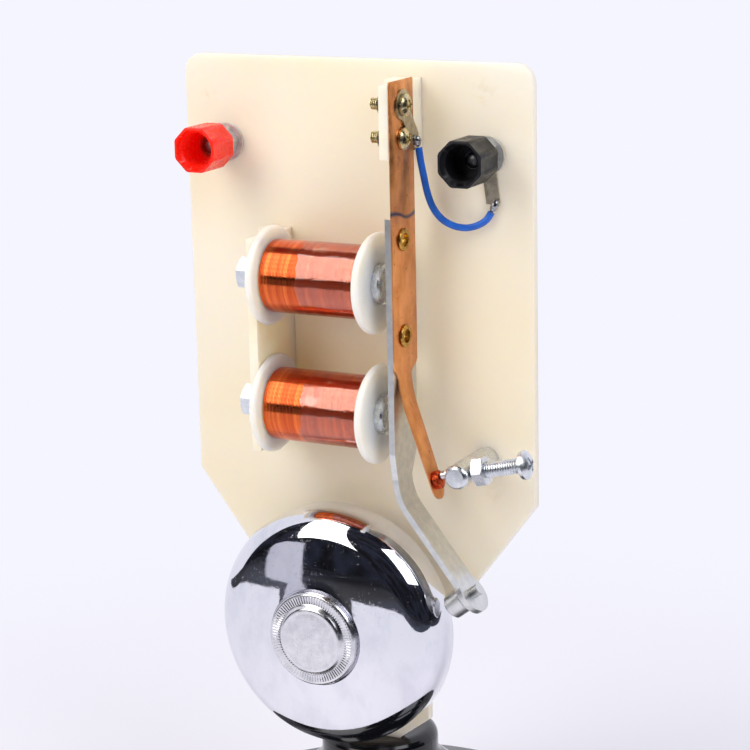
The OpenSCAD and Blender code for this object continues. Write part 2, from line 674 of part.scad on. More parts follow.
// Binding posts: stud, washer and nut on both sides of the board, then the knob with its narrow neck
module terminal_studs() {
    color("#c9ccd0") on_board() for (x = terminal_xs)
        forward(x, -board_t - stud_rear, terminal_z)
            cylinder(r = m4_r, h = board_t + stud_rear + stud_front);
}
module terminal_washers() {
    color("#c9ccd0") on_board() for (i = [0, 1]) {
        forward(terminal_xs[i], terminal_starts[i], terminal_z)
            washer(terminal_washer_r, m4_r + seat, terminal_washer_t);
        behind(terminal_xs[i], 0, terminal_z) washer(terminal_washer_r, m4_r + seat, terminal_washer_t);
    }
}
module terminal_nuts() {
    color("#c9ccd0") on_board() for (i = [0, 1]) {
        forward(terminal_xs[i], terminal_starts[i] + terminal_washer_t, terminal_z)
            rotate([0, 0, 10 + 30 * i]) hex_nut(m4_nut_w, m4_nut_h, m4_r + seat);
        behind(terminal_xs[i], terminal_washer_t, terminal_z) rotate([0, 0, 30 * i])
            hex_nut(m4_nut_w, m4_nut_h, m4_r + seat);
    }
}
module knob(i) {
    apothem = knob_r * cos(22.5);
    start = terminal_starts[i] + nut_front + away;
    h = knob_end - start;
    on_board() forward(terminal_xs[i], start, terminal_z) difference() {
        union() {
            cylinder(r = knob_neck_r, h = h / 2);
            translate([0, 0, knob_grip_start - start])
                linear_extrude(knob_end - knob_grip_start) intersection() {
                    difference() {
                        rotate([0, 0, 22.5]) circle(r = knob_r, $fn = 8);
                        for (a = [0:45:315]) rotate([0, 0, a])
                            translate([apothem - flute_depth + flute_r, 0]) circle(r = flute_r, $fn = 96);
                    }
                    circle(r = knob_clip_r);
                }
        }
        translate([0, 0, knob_floor]) cylinder(r = knob_cup_r, h = h);
        translate([0, 0, h - 1.6]) cylinder(r1 = knob_cup_r, r2 = knob_mouth_r, h = 1.6 + eps);
        translate([0, 0, -1]) cylinder(r = insert_r + seat, h = knob_floor + 2);
    }
}
module insert(i) {
    on_board() forward(terminal_xs[i], terminal_starts[i] + nut_front + away + 0.2, terminal_z)
        washer(insert_r, m4_r + play, knob_floor - 0.2);
}
module red_insert() { color("#c9a04a") insert(0); }
module red_knob() { color("#e8261e") knob(0); }
module black_insert() { color("#c9a04a") insert(1); }
module black_knob() { color("#1c1c20") knob(1); }

// Solder lug flat on the board under the black terminal, the two solder joints and the wire between them
module black_lug() {
    color("#b8b6ae") on_board() forward(terminal_x, 0, terminal_z)
        rotate([0, 0, black_lug_turn]) linear_extrude(lug_t) difference() {
            union() {
                circle(r = 4);
                translate([-lug_tail_w / 2, -black_lug_l]) square([lug_tail_w, black_lug_l]);
            }
            circle(r = m4_r + seat);
        }
}
wire_points = [for (p = wire_route) [p[0], -p[1], p[2]]];
module solder_joint(at, from, l) {
    translate(at) rotate([0, acos(unit(at - from)[2]), atan2(unit(at - from)[1], unit(at - from)[0])]) {
        cylinder(r = 1, h = l);
        translate([0, 0, l]) sphere(r = 1, $fn = 32);
    }
}
module solder_joints() {
    last = len(wire_points) - 1;
    lug_face = spring_x + spring_t + lug_t;
    color("#a5a8ad") on_board() {
        difference() {
            solder_joint(wire_points[0], wire_points[1], 2);
            translate([lug_face - 10, -20, 190]) cube([10, 20, 20]);
        }
        difference() {
            solder_joint(wire_points[last], wire_points[last - 1], 2.8);
            translate([30, -lug_t, 170]) cube([20, 20, 30]);
        }
    }
}
module blue_wire() { color("#1e5fc8") on_board() tube(wire_points, wire_d / 2, wire_sides); }

foot();
board();
gong_post();
gong_post_nut();
gong();
gong_cap();
coil_bracket();
coil_bracket_screws();
upper_core();
lower_core();
core_washers();
core_nuts();
upper_bobbin();
lower_bobbin();
upper_winding();
lower_winding();
upper_tape();
lower_tape();
spring_bracket();
spring_bracket_screws();
contact_spring();
clamp_screws();
clamp_washers();
clamp_nuts();
spring_lug();
armature();
eyelets();
contact_rivet();
hammer();
contact_post();
contact_post_nut();
lock_nut();
contact_screw();
contact_tip();
terminal_studs();
terminal_washers();
terminal_nuts();
red_insert();
red_knob();
black_insert();
black_knob();
black_lug();
solder_joints();
blue_wire();
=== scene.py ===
"""Looks of the electric bell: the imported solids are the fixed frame, the detailed pieces stand on them."""
import json
import math
import bmesh
import bpy
from mathutils import Matrix, Vector


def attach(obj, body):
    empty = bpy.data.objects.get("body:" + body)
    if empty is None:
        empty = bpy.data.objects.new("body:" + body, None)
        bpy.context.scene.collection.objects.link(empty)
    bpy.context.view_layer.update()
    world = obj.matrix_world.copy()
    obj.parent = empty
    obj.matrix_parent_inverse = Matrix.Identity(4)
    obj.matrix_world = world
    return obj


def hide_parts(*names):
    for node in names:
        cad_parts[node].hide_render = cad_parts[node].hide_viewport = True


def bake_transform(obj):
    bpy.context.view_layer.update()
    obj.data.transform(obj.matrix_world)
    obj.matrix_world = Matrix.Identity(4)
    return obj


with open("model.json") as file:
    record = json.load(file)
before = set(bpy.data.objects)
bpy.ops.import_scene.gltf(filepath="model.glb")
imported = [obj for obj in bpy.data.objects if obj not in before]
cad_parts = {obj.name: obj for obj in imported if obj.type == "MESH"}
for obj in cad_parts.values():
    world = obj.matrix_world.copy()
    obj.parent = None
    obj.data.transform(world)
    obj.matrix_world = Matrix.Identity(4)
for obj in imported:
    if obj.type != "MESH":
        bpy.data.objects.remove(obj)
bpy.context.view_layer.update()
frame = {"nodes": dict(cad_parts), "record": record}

# Sizes are in mm, as on the drawing. Z is the height above the table, and X runs to the right of the board
MM = 0.001
BOARD_FRONT = 7.0


def spot(x, reach, z):
    """A place on the drawing, in metres: reach is the distance in front of the board's front face."""
    return Vector((x, -BOARD_FRONT - reach, z)) * MM


# The camera of the photograph, found from the board's straight edges
CAMERA_AZIMUTH = math.radians(27.40)
CAMERA_HEIGHT_ANGLE = math.radians(13.80)
CAMERA_ROLL = math.radians(-1.287)
CAMERA_DISTANCE = 0.61377
CAMERA_TARGET = Vector((4.54, -7.0, 138.4)) * MM
SENSOR_WIDTH = 36.0
PHOTO_PIXELS = 750.0
FOCAL_PIXELS = 2343.3

# The blue wire's middle line, as in part.scad: x, reach, z
WIRE_ROUTE = [
    (21.5, 6.2, 200), (22, 6.2, 196.6), (22.7, 6, 192.7), (23.5, 5.8, 188.7),
    (24.8, 5.5, 185), (27, 5.1, 182.1), (30, 4.5, 180.4), (33.2, 3.6, 179.9),
    (36, 2.6, 180.6), (38, 1.8, 182), (39.1, 1.5, 183.8)]
WIRE_DIAMETER = 1.8


def make_camera():
    data = bpy.data.cameras.new("photo_camera")
    data.sensor_fit = "HORIZONTAL"
    data.sensor_width = SENSOR_WIDTH
    data.lens = SENSOR_WIDTH * FOCAL_PIXELS / PHOTO_PIXELS
    data.clip_start = 0.02
    data.clip_end = 60.0
    camera = bpy.data.objects.new("photo_camera", data)
    bpy.context.scene.collection.objects.link(camera)
    back = Vector((
        math.sin(CAMERA_AZIMUTH) * math.cos(CAMERA_HEIGHT_ANGLE),
        -math.cos(CAMERA_AZIMUTH) * math.cos(CAMERA_HEIGHT_ANGLE),
        math.sin(CAMERA_HEIGHT_ANGLE)))
    turn = back.to_track_quat("Z", "Y").to_matrix().to_4x4()
    roll = Matrix.Rotation(CAMERA_ROLL, 4, "Z")
    camera.matrix_world = Matrix.Translation(CAMERA_TARGET + back * CAMERA_DISTANCE) @ turn @ roll
    bpy.context.scene.camera = camera


make_camera()


# Working by hand: small helpers around Blender's own tools

def object_mode():
    """Leave edit mode with nothing selected."""
    if bpy.context.object and bpy.context.object.mode != "OBJECT":
        bpy.ops.object.mode_set(mode="OBJECT")
    bpy.ops.object.select_all(action="DESELECT")


def edit_mode():
    """Edit the piece in use, with all of it selected."""
    bpy.ops.object.mode_set(mode="EDIT")
    bpy.ops.mesh.select_mode(type="VERT")
    bpy.ops.mesh.select_all(action="SELECT")


def use(piece):
    """Select this piece alone, as the one that the tools work on."""
    object_mode()
    piece.select_set(True)
    bpy.context.view_layer.objects.active = piece


def pick(piece, wanted, kind="FACE"):
    """In edit mode, select the faces, edges or corners whose middle passes wanted(x, y, z) in mm."""
    bpy.ops.mesh.select_mode(type=kind)
    bpy.ops.mesh.select_all(action="DESELECT")
    mesh = bmesh.from_edit_mesh(piece.data)
    parts = {"FACE": mesh.faces, "EDGE": mesh.edges, "VERT": mesh.verts}[kind]
    for part in parts:
        corners = [part.co] if kind == "VERT" else [corner.co for corner in part.verts]
        middle = sum(corners, Vector()) / len(corners) / MM
        if wanted(middle.x, middle.y, middle.z):
            part.select = True
    mesh.select_flush_mode()
    bmesh.update_edit_mesh(piece.data)


def modify(piece, kind, **settings):
    """Add one modifier with its settings and apply it."""
    use(piece)
    modifier = piece.modifiers.new(kind.lower(), kind)
    for name, value in settings.items():
        setattr(modifier, name, value)
    bpy.ops.object.modifier_apply(modifier=modifier.name)
    return piece


def outward(piece):
    """Merge doubled corners, then turn every face outwards."""
    use(piece)
    edit_mode()
    bpy.ops.mesh.remove_doubles(threshold=0.0005 * MM)
    bpy.ops.mesh.normals_make_consistent(inside=False)
    object_mode()
    return piece


def smooth(piece, angle):
    """Smooth shading, with a crisp line at every edge sharper than the angle."""
    use(piece)
    bpy.ops.object.shade_smooth_by_angle(angle=math.radians(angle))
    return piece


def aim(direction, at, turn=0):
    """The place of a piece that was modelled standing on Z: its Z then points along direction."""
    base = Vector(direction).to_track_quat("Z", "Y").to_matrix().to_4x4()
    return Matrix.Translation(at) @ base @ Matrix.Rotation(math.radians(turn), 4, "Z")


def set_in_place(piece, matrix):
    """Write the place into the mesh, so that the piece's object stays at the origin."""
    piece.data.transform(piece.matrix_world)
    piece.matrix_world = Matrix.Identity(4)
    piece.data.transform(matrix)
    return piece


def join(pieces):
    """One piece of several; they keep their own surfaces."""
    use(pieces[0])
    for piece in pieces:
        piece.select_set(True)
    bpy.ops.object.join()
    return bpy.context.object


def keep(piece, name, body, slot, node_name, finish=None):
    """The finished piece gets its name, finish and body, and stands for the CAD node it replaces."""
    object_mode()
    piece.name = name
    piece.data.name = name
    piece.data.materials.clear()
    piece.data.materials.append(FINISHES[finish or slot])
    for face in piece.data.polygons:
        face.material_index = 0
    if body:
        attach(piece, body)
    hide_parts(node_name)


def turned(rings, sides=96):
    """Lathe work: each ring (radius, height) is extruded from the one before it.

    A last ring that meets the first closes a wall, and open ends are capped.
    """
    object_mode()
    radius, height = rings[0]
    bpy.ops.mesh.primitive_circle_add(vertices=sides, radius=radius * MM, location=(0, 0, 0))
    piece = bpy.context.object
    edit_mode()
    bpy.ops.transform.translate(value=(0, 0, height * MM))
    for next_radius, next_height in rings[1:]:
        bpy.ops.mesh.extrude_region_move(
            TRANSFORM_OT_translate={"value": (0, 0, (next_height - height) * MM)})
        if next_radius == 0:
            bpy.ops.mesh.merge(type="CENTER")
            break
        scale = next_radius / radius
        if abs(scale - 1) > 1e-9:
            bpy.ops.transform.resize(value=(scale, scale, 1), center_override=(0, 0, next_height * MM))
        radius, height = next_radius, next_height
    outward(piece)
    use(piece)
    edit_mode()
    bpy.ops.mesh.fill_holes(sides=0)
    bpy.ops.mesh.normals_make_consistent(inside=False)
    object_mode()
    return piece


def arc(x, z, radius, start, stop, steps):
    """Points of an arc about (x, z), angles in degrees."""
    angles = [math.radians(start + (stop - start) * i / steps) for i in range(steps + 1)]
    return [(x + radius * math.cos(angle), z + radius * math.sin(angle)) for angle in angles]


def combine(piece, tool, operation):
    """Take the tool's shape out of the piece, or add it; the tool is used up."""
    modify(piece, "BOOLEAN", operation=operation, object=tool, solver="EXACT")
    bpy.data.objects.remove(tool)
    return piece


def ease(piece, width, segments, angle):
    """Round every edge sharper than the angle."""
    return modify(piece, "BEVEL", width=width * MM, segments=segments, limit_method="ANGLE",
                  angle_limit=math.radians(angle))


def sweep(profile, pitch, turns, sides):
    """Screw a profile that lies in the XZ plane round Z, turn after turn."""
    modify(profile, "SCREW", axis="Z", angle=2 * math.pi, screw_offset=pitch * MM, iterations=turns,
           steps=sides, render_steps=sides, use_merge_vertices=True, merge_threshold=0.001 * MM)
    return outward(profile)


def block(size, at, turn=0):
    """A plain block about a place, turned round Z."""
    object_mode()
    bpy.ops.mesh.primitive_cube_add(size=1, location=(0, 0, 0))
    piece = bpy.context.object
    piece.data.transform(Matrix.Diagonal((size[0] * MM, size[1] * MM, size[2] * MM, 1)))
    piece.data.transform(Matrix.Translation(Vector(at) * MM) @ Matrix.Rotation(math.radians(turn), 4, "Z"))
    return piece


# Finishes: every colour is an sRGB hex value, every pattern has its real size in mm

def colour(code):
    """sRGB hex to the linear colour that the shader takes."""
    parts = [int(code[i:i + 2], 16) / 255 for i in (1, 3, 5)]
    return [p / 12.92 if p <= 0.04045 else ((p + 0.055) / 1.055) ** 2.4 for p in parts] + [1.0]


def add(tree, kind, inputs=None, **settings):
    """One node, its settings, and its inputs: a value, or another node's output to link."""
    node = tree.nodes.new(kind)
    for name, value in settings.items():
        setattr(node, name, value)
    for socket, value in (inputs or {}).items():
        if isinstance(value, bpy.types.NodeSocket):
            tree.links.new(value, node.inputs[socket])
        else:
            node.inputs[socket].default_value = value
    return node


def start_finish(name, **values):
    """A material with one shader whose sockets take the values; place gives patterns their coordinates."""
    material = bpy.data.materials.new(name)
    material.use_nodes = True
    tree = material.node_tree
    tree.nodes.clear()
    output = add(tree, "ShaderNodeOutputMaterial")
    shader = add(tree, "ShaderNodeBsdfPrincipled")
    tree.links.new(shader.outputs["BSDF"], output.inputs["Surface"])
    for socket, value in values.items():
        shader.inputs[socket.replace("_", " ")].default_value = value
    place = add(tree, "ShaderNodeTexCoord").outputs["Object"]
    return material, tree, shader, place


def grain(tree, place, size_mm, detail=3, stretch=(1, 1, 1), rough=0.5):
    """A noise whose blotches are about size_mm wide; stretch makes them longer along an axis."""
    spread = add(tree, "ShaderNodeMapping", {"Vector": place, "Scale": stretch})
    return add(tree, "ShaderNodeTexNoise", {
        "Vector": spread.outputs["Vector"], "Scale": 1000.0 / size_mm, "Detail": detail,
        "Roughness": rough}).outputs["Fac"]


def steps(tree, factor, low, high, from_low=0.35, from_high=0.65):
    """A noise value spread over a range."""
    return add(tree, "ShaderNodeMapRange", {
        "Value": factor, "From Min": from_low, "From Max": from_high,
        "To Min": low, "To Max": high}).outputs["Result"]


def blend_colours(tree, factor, first, second):
    """The first colour where the factor is 0, the second where it is 1."""
    # Inputs 6 and 7 are the node's two colours, and output 2 is the mixed one
    return add(tree, "ShaderNodeMix", {0: factor, 6: first, 7: second}, data_type="RGBA").outputs[2]


def relief(tree, shader, height, depth_mm, strength, under=None):
    """Small bumps of this depth, over other bumps where under is given."""
    inputs = {"Height": height, "Distance": depth_mm * MM, "Strength": strength}
    if under:
        inputs["Normal"] = under
    bump = add(tree, "ShaderNodeBump", inputs).outputs["Normal"]
    tree.links.new(bump, shader.inputs["Normal"])
    return bump


def moulded(name, base, shade, roughness, patch_mm, skin_mm=0.5, skin_depth=0.004, **values):
    """Moulded plastic: a colour that drifts from place to place, a fine skin, a slightly uneven gloss."""
    material, tree, shader, place = start_finish(name, **values)
    drift = steps(tree, grain(tree, place, patch_mm, 4), 0, 1)
    tree.links.new(blend_colours(tree, drift, colour(base), colour(shade)), shader.inputs["Base Color"])
    gloss = steps(tree, grain(tree, place, patch_mm / 3, 3), roughness[0], roughness[1])
    tree.links.new(gloss, shader.inputs["Roughness"])
    flow = relief(tree, shader, grain(tree, place, 9, 2), 0.03, 0.35)
    relief(tree, shader, grain(tree, place, skin_mm, 2), skin_depth, 0.5, flow)
    return material


def plated(name, base, shade, roughness, patch_mm, pit_mm, pit_depth):
    """Plated metal: small cloudy patches, an uneven shine and fine pits."""
    material, tree, shader, place = start_finish(name, Metallic=1.0)
    cloud = steps(tree, grain(tree, place, patch_mm, 5, rough=0.6), 0, 1)
    tree.links.new(blend_colours(tree, cloud, colour(base), colour(shade)), shader.inputs["Base Color"])
    gloss = steps(tree, grain(tree, place, patch_mm * 0.6, 4), roughness[0], roughness[1])
    tree.links.new(gloss, shader.inputs["Roughness"])
    relief(tree, shader, grain(tree, place, pit_mm, 3), pit_depth, 0.6)
    return material


def near(tree, place, at, size_mm):
    """1 at a place on the object, fading to 0 at size_mm from it."""
    away = add(tree, "ShaderNodeVectorMath", {0: place, 1: tuple(at)}, operation="DISTANCE")
    return steps(tree, away.outputs["Value"], 1, 0, 0, size_mm * MM)


def calculate(tree, operation, first, second):
    """One step of arithmetic on two values."""
    return add(tree, "ShaderNodeMath", {0: first, 1: second}, operation=operation).outputs[0]


# Where the board is rubbed: a place and how far the rub spreads
BOARD_RUBS = ((spot(-42.6, 0, 210), 3.2), (spot(38.7, 0, 110), 3.4), (spot(37, 0, 214), 4.5))


def board_plastic():
    """Ivory ABS, injection moulded: semi-gloss, light warms its shadows, a few specks and three rubs."""
    material, tree, shader, place = start_finish(
        "ivory_abs_board", IOR=1.53, Subsurface_Weight=0.45, Subsurface_Scale=0.009,
        Subsurface_Radius=(1.0, 0.66, 0.32), Coat_Weight=0.1, Coat_Roughness=0.25)
    clouds = steps(tree, grain(tree, place, 60, 2), 0, 1)
    body = blend_colours(tree, clouds, colour("#F7EAD9"), colour("#F3E2C8"))
    specks = steps(tree, grain(tree, place, 1.4, 1), 0, 0.3, 0.8, 0.86)
    body = blend_colours(tree, specks, body, colour("#A48C66"))
    for at, size in BOARD_RUBS:
        worn = steps(tree, grain(tree, place, 2.2, 4), 0, 0.32, 0.45, 0.7)
        rub = calculate(tree, "MULTIPLY", near(tree, place, at, size), worn)
        body = blend_colours(tree, rub, body, colour("#C9A877"))
    tree.links.new(body, shader.inputs["Base Color"])
    tree.links.new(steps(tree, grain(tree, place, 25, 4), 0.3, 0.42), shader.inputs["Roughness"])
    flow = relief(tree, shader, grain(tree, place, 30, 2), 0.1, 0.25)
    relief(tree, shader, grain(tree, place, 0.6, 2), 0.003, 0.4, flow)
    return material


def bobbin_nylon():
    """White nylon, injection moulded: milky, lets light in at the rims, soft gloss."""
    return moulded(
        "white_nylon_bobbin", "#FFF8E4", "#F8EED4", (0.28, 0.42), 9, IOR=1.53,
        Subsurface_Weight=0.75, Subsurface_Scale=0.01, Subsurface_Radius=(1.0, 0.84, 0.5))


def foot_plastic():
    """Black ABS, polished mould: deep gloss that shows the room, with dust and hairlines."""
    material, tree, shader, place = start_finish(
        "black_abs_foot", IOR=1.5, Specular_IOR_Level=0.4, Coat_Weight=0.1, Coat_Roughness=0.05)
    dust = steps(tree, grain(tree, place, 0.9, 2, (1, 1, 1), 0.4), 0, 0.5, 0.73, 0.8)
    body = blend_colours(tree, dust, colour("#0C0D10"), colour("#54575E"))
    tree.links.new(body, shader.inputs["Base Color"])
    wipe = grain(tree, place, 4, 6, (0.2, 1, 1), 0.7)
    tree.links.new(steps(tree, wipe, 0.08, 0.22), shader.inputs["Roughness"])
    relief(tree, shader, grain(tree, place, 12, 2), 0.05, 0.25)
    return material


def chrome_plate():
    """Chrome on spun steel: a mirror with slow waves from spinning, fine hairlines and wiped smudges."""
    material, tree, shader, place = start_finish("chrome_plate", Metallic=1.0)
    smudge = steps(tree, grain(tree, place, 8, 6, (1, 1, 0.6), 0.65), 0, 1, 0.45, 0.75)
    body = blend_colours(tree, smudge, colour("#E6E6EC"), colour("#D6D7DF"))
    tree.links.new(body, shader.inputs["Base Color"])
    hair = grain(tree, place, 0.45, 5, (0.12, 1, 1), 0.75)
    across = grain(tree, place, 0.45, 5, (1, 1, 0.12), 0.75)
    both = calculate(tree, "MULTIPLY", hair, across)
    hairlines = steps(tree, both, 0, 0.3, 0.3, 0.42)
    haze = calculate(tree, "ADD", hairlines, steps(tree, smudge, 0.02, 0.07, 0, 1))
    tree.links.new(haze, shader.inputs["Roughness"])
    waves = relief(tree, shader, grain(tree, place, 14, 3), 0.35, 0.12)
    relief(tree, shader, both, 0.005, 0.6, waves)
    return material


def zinc_fastener():
    """Bright zinc on turned steel: silvery blue with small duller patches."""
    return plated("bright_zinc_fastener", "#E8EAED", "#D2D6DB", (0.22, 0.36), 2.2, 0.25, 0.004)


def zinc_plate():
    """Zinc on rolled sheet steel: pale grey, mottled, smooth enough to take the board's colour."""
    return plated("zinc_sheet_armature", "#E2E2E0", "#D0D2D3", (0.28, 0.35), 2.2, 0.5, 0.0015)


def stamped_cap():
    """Nickel on a stamped cap: satin, a little worn in patches."""
    return plated("stamped_nickel_cap", "#E6E5E8", "#D2D2D6", (0.16, 0.3), 3, 0.3, 0.006)


def dull_zinc():
    """Zinc on the nuts and washers behind the knobs: tumbled in a drum, so pale and dull."""
    return plated("tumbled_zinc_washer", "#E8E8E6", "#CFCFCC", (0.42, 0.55), 1.6, 0.25, 0.006)


def dark_steel_painted_shade():
    """Steel of the studs and inserts, deep in the knobs: cloudy and half dull, its dark colour painted shade
    for the deep cups.
    """
    return plated("stud_steel_painted_shade", "#8E8F92", "#646568", (0.3, 0.5), 1.0, 0.25, 0.01)


def yellow_zinc():
    """Yellow-passivated zinc: silver with a straw tint that gathers in patches."""
    return plated("yellow_zinc_screw", "#E8DEBC", "#C2B07C", (0.16, 0.34), 1.2, 0.25, 0.006)


# The copper strip: its middle line, and the height of a blue-grey line across it
STRIP_X = 19.8
STRIP_REACH = 12.5
BLUE_LINE_Z = 186.6


def sheet_copper():
    """Rolled copper strip, aged: orange-brown, fine rolling lines, dark clouds where it is clamped."""
    material, tree, shader, place = start_finish("rolled_copper_strip", Metallic=1.0)
    cloud = steps(tree, grain(tree, place, 5, 6, (1, 1, 0.6), 0.6), 0, 1)
    body = blend_colours(tree, cloud, colour("#F8B27A"), colour("#DC925A"))
    # Darker clouds within 22 mm of the clamp
    clamp = steps(tree, grain(tree, place, 3.2, 5, (1, 1, 0.7), 0.65), 0, 1, 0.45, 0.62)
    darker_by_clamp = calculate(tree, "MULTIPLY", near(tree, place, spot(STRIP_X, STRIP_REACH, 207), 22), clamp)
    body = blend_colours(tree, darker_by_clamp, body, colour("#A2683E"))
    spots = steps(tree, grain(tree, place, 1.1, 3), 0, 0.7, 0.66, 0.74)
    body = blend_colours(tree, spots, body, colour("#8A5230"))
    height = add(tree, "ShaderNodeSeparateXYZ", {"Vector": place}).outputs["Z"]
    wave = calculate(tree, "MULTIPLY", grain(tree, place, 9, 1), 5 * MM)
    wavy_height = calculate(tree, "ADD", wave, height)
    # A thin blue-grey line across the strip at that height
    rise = steps(tree, wavy_height, 0, 1, (BLUE_LINE_Z - 0.9) * MM, (BLUE_LINE_Z - 0.1) * MM)
    fall = steps(tree, wavy_height, 1, 0, (BLUE_LINE_Z + 0.1) * MM, (BLUE_LINE_Z + 0.9) * MM)
    body = blend_colours(tree, calculate(tree, "MULTIPLY", rise, fall), body, colour("#5B5A72"))
    tree.links.new(body, shader.inputs["Base Color"])
    rolled = grain(tree, place, 0.5, 4, (1, 1, 0.06), 0.6)
    tree.links.new(steps(tree, rolled, 0.3, 0.46), shader.inputs["Roughness"])
    relief(tree, shader, rolled, 0.004, 0.5)
    return material


def red_copper():
    """Copper rivet, reddened by the sparks: bright orange-red with dark brown patches."""
    return plated("red_copper_rivet", "#DA5B32", "#96341C", (0.16, 0.32), 1.2, 0.3, 0.012)


def enamelled_wire():
    """Enamelled copper wire, close wound: amber enamel over copper, each turn a shade from the next."""
    material, tree, shader, place = start_finish(
        "enamelled_copper_wire", Metallic=1.0, Coat_Weight=0.15, Coat_Roughness=0.15, Coat_IOR=1.55)
    bands = grain(tree, place, 0.9, 2, (1, 0.02, 0.02), 0.5)
    body = blend_colours(tree, steps(tree, bands, 0, 1), colour("#EC753A"), colour("#CC5428"))
    tree.links.new(body, shader.inputs["Base Color"])
    tree.links.new(steps(tree, bands, 0.1, 0.17), shader.inputs["Roughness"])
    relief(tree, shader, grain(tree, place, 0.3, 2, (1, 0.1, 0.1)), 0.004, 0.4)
    return material


def clear_tape():
    """Clear polyester tape: a glossy film, seen only where it mirrors, with paler unstuck patches."""
    material, tree, shader, place = start_finish(
        "clear_polyester_tape", IOR=3.0, Coat_Weight=1.0, Coat_Roughness=0.05)
    loose = steps(tree, grain(tree, place, 5.5, 3, (0.7, 1, 1)), 0, 1, 0.64, 0.68)
    body = blend_colours(tree, loose, colour("#A03C24"), colour("#E0A080"))
    tree.links.new(body, shader.inputs["Base Color"])
    tree.links.new(steps(tree, loose, 0.17, 0.28, 0, 1), shader.inputs["Alpha"])
    tree.links.new(steps(tree, grain(tree, place, 3, 3), 0.04, 0.14), shader.inputs["Roughness"])
    relief(tree, shader, grain(tree, place, 4.5, 3, (0.5, 1, 1)), 0.5, 0.5)
    return material


def blue_pvc():
    """Blue PVC wire insulation, extruded: a soft sheen and a slightly uneven skin."""
    return moulded("blue_pvc_insulation", "#1768CF", "#1156B4", (0.28, 0.42), 3, 0.4, 0.006, IOR=1.53)


def bracket_plastic():
    """White ABS, moulded: creamy, semi-matt, light warms its thin flanges."""
    return moulded(
        "white_abs_bracket", "#FFF4DC", "#F9E9C8", (0.3, 0.45), 12, IOR=1.53,
        Subsurface_Weight=0.5, Subsurface_Scale=0.008, Subsurface_Radius=(1.0, 0.75, 0.4))


def red_plastic():
    """Red ABS, polished mould: saturated and glowing inside the cup, with soft highlights."""
    return moulded(
        "red_abs_knob", "#FF2818", "#F21E10", (0.2, 0.34), 5, IOR=1.5, Specular_IOR_Level=0.4,
        Subsurface_Weight=0.85, Subsurface_Scale=0.012, Subsurface_Radius=(1.0, 0.2, 0.1))


def black_plastic():
    """Black ABS of the knob: deep black inside, grey only along its eased corners."""
    return moulded(
        "black_abs_knob", "#0E0E11", "#17171B", (0.3, 0.46), 5, IOR=1.53, Specular_IOR_Level=0.35)


def turned_brass():
    """Brass of the eyelets, rolled over in a press: warm yellow with brown patches."""
    return plated("plain_brass", "#D9B05E", "#A97E33", (0.2, 0.38), 1.5, 0.25, 0.01)


def tinned_brass():
    """Tin on the brass lugs: a pale straw grey, dulled by the soldering."""
    return plated("tin_plated_brass_lug", "#CFC7B4", "#A49A83", (0.28, 0.45), 2, 0.3, 0.01)


def contact_silver():
    """Silver of the contact point: the whitest metal here, polished by use."""
    return plated("silver_contact_point", "#E6E6E6", "#C4C4C6", (0.15, 0.3), 0.8, 0.2, 0.006)


def soft_solder():
    """Tin and lead solder, frozen as it flowed: bluish grey, shiny and wrinkled."""
    return plated("tin_lead_solder", "#B9BBC0", "#8C8F96", (0.2, 0.4), 1, 0.4, 0.05)


FINISHES = {
    "cream_abs": board_plastic(),
    "white_abs": bracket_plastic(),
    "white_nylon": bobbin_nylon(),
    "black_abs": foot_plastic(),
    "red_abs": red_plastic(),
    "terminal_black": black_plastic(),
    "blue_pvc": blue_pvc(),
    "clear_tape": clear_tape(),
    "chrome": chrome_plate(),
    "zinc_steel": zinc_fastener(),
    "zinc_sheet": zinc_plate(),
    # Darkened steel: painted shade for the studs and inserts deep in the knob cups
    "dark_steel_painted_shade": dark_steel_painted_shade(),
    "dull_zinc": dull_zinc(),
    "stamped_cap": stamped_cap(),
    "yellow_zinc": yellow_zinc(),
    "copper": sheet_copper(),
    "red_copper": red_copper(),
    "enamelled_copper": enamelled_wire(),
    "brass": turned_brass(),
    "tinned_brass": tinned_brass(),
    "silver_contact": contact_silver(),
    "solder": soft_solder(),
}

# Nodes whose finish isn't the one that their material slot is named for
# The studs and inserts take a darkened steel: painted shade deep inside the knob cups.
OWN_FINISH = {
    "armature": "zinc_sheet", "hammer": "zinc_sheet", "terminal_nuts": "dull_zinc",
    "terminal_washers": "dull_zinc", "terminal_studs": "dark_steel_painted_shade", "red_insert": "dark_steel_painted_shade",
    "black_insert": "dark_steel_painted_shade"}


def finish_nodes():
    """Every CAD node that stays in view gets its finish."""
    slots = {part["node"]: part["material_slot"] for part in frame["record"]["subparts"]}
    for node_name, node in frame["nodes"].items():
        node.data.materials.clear()
        node.data.materials.append(FINISHES[OWN_FINISH.get(node_name, slots[node_name])])


finish_nodes()


# Blue wire: a soft curve through its route, a jumper held by solder at both ends

def soft_curve(points):
    """A smooth line through the points, with two more points between each pair."""
    fine = []
    for i in range(len(points) - 1):
        before = points[max(i - 1, 0)]
        a, b = points[i], points[i + 1]
        after = points[min(i + 2, len(points) - 1)]
        for t in (0, 1 / 3, 2 / 3):
            fine.append(0.5 * (2 * a + (b - before) * t + (2 * before - 5 * a + 4 * b - after) * t ** 2
                               + (3 * a - before - 3 * b + after) * t ** 3))
    return fine + [points[-1]]


def make_wire():
    data = bpy.data.curves.new("blue_wire_run", "CURVE")
    data.dimensions = "3D"
    spline = data.splines.new("POLY")
    fine = soft_curve([spot(*point) for point in WIRE_ROUTE])
    spline.points.add(len(fine) - 1)
    for target, point in zip(spline.points, fine):
        target.co = (*point, 1)
    data.bevel_depth = WIRE_DIAMETER / 2 * MM
    data.bevel_resolution = 5
    data.use_fill_caps = True
    wire = bpy.data.objects.new("blue_wire_run", data)
    bpy.context.scene.collection.objects.link(wire)
    data.materials.append(FINISHES["blue_pvc"])
    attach(wire, "frame")
    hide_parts("blue_wire")


make_wire()


# Board: cut from one slab, corners rounded, tongue and tenon drawn out below, edges softened

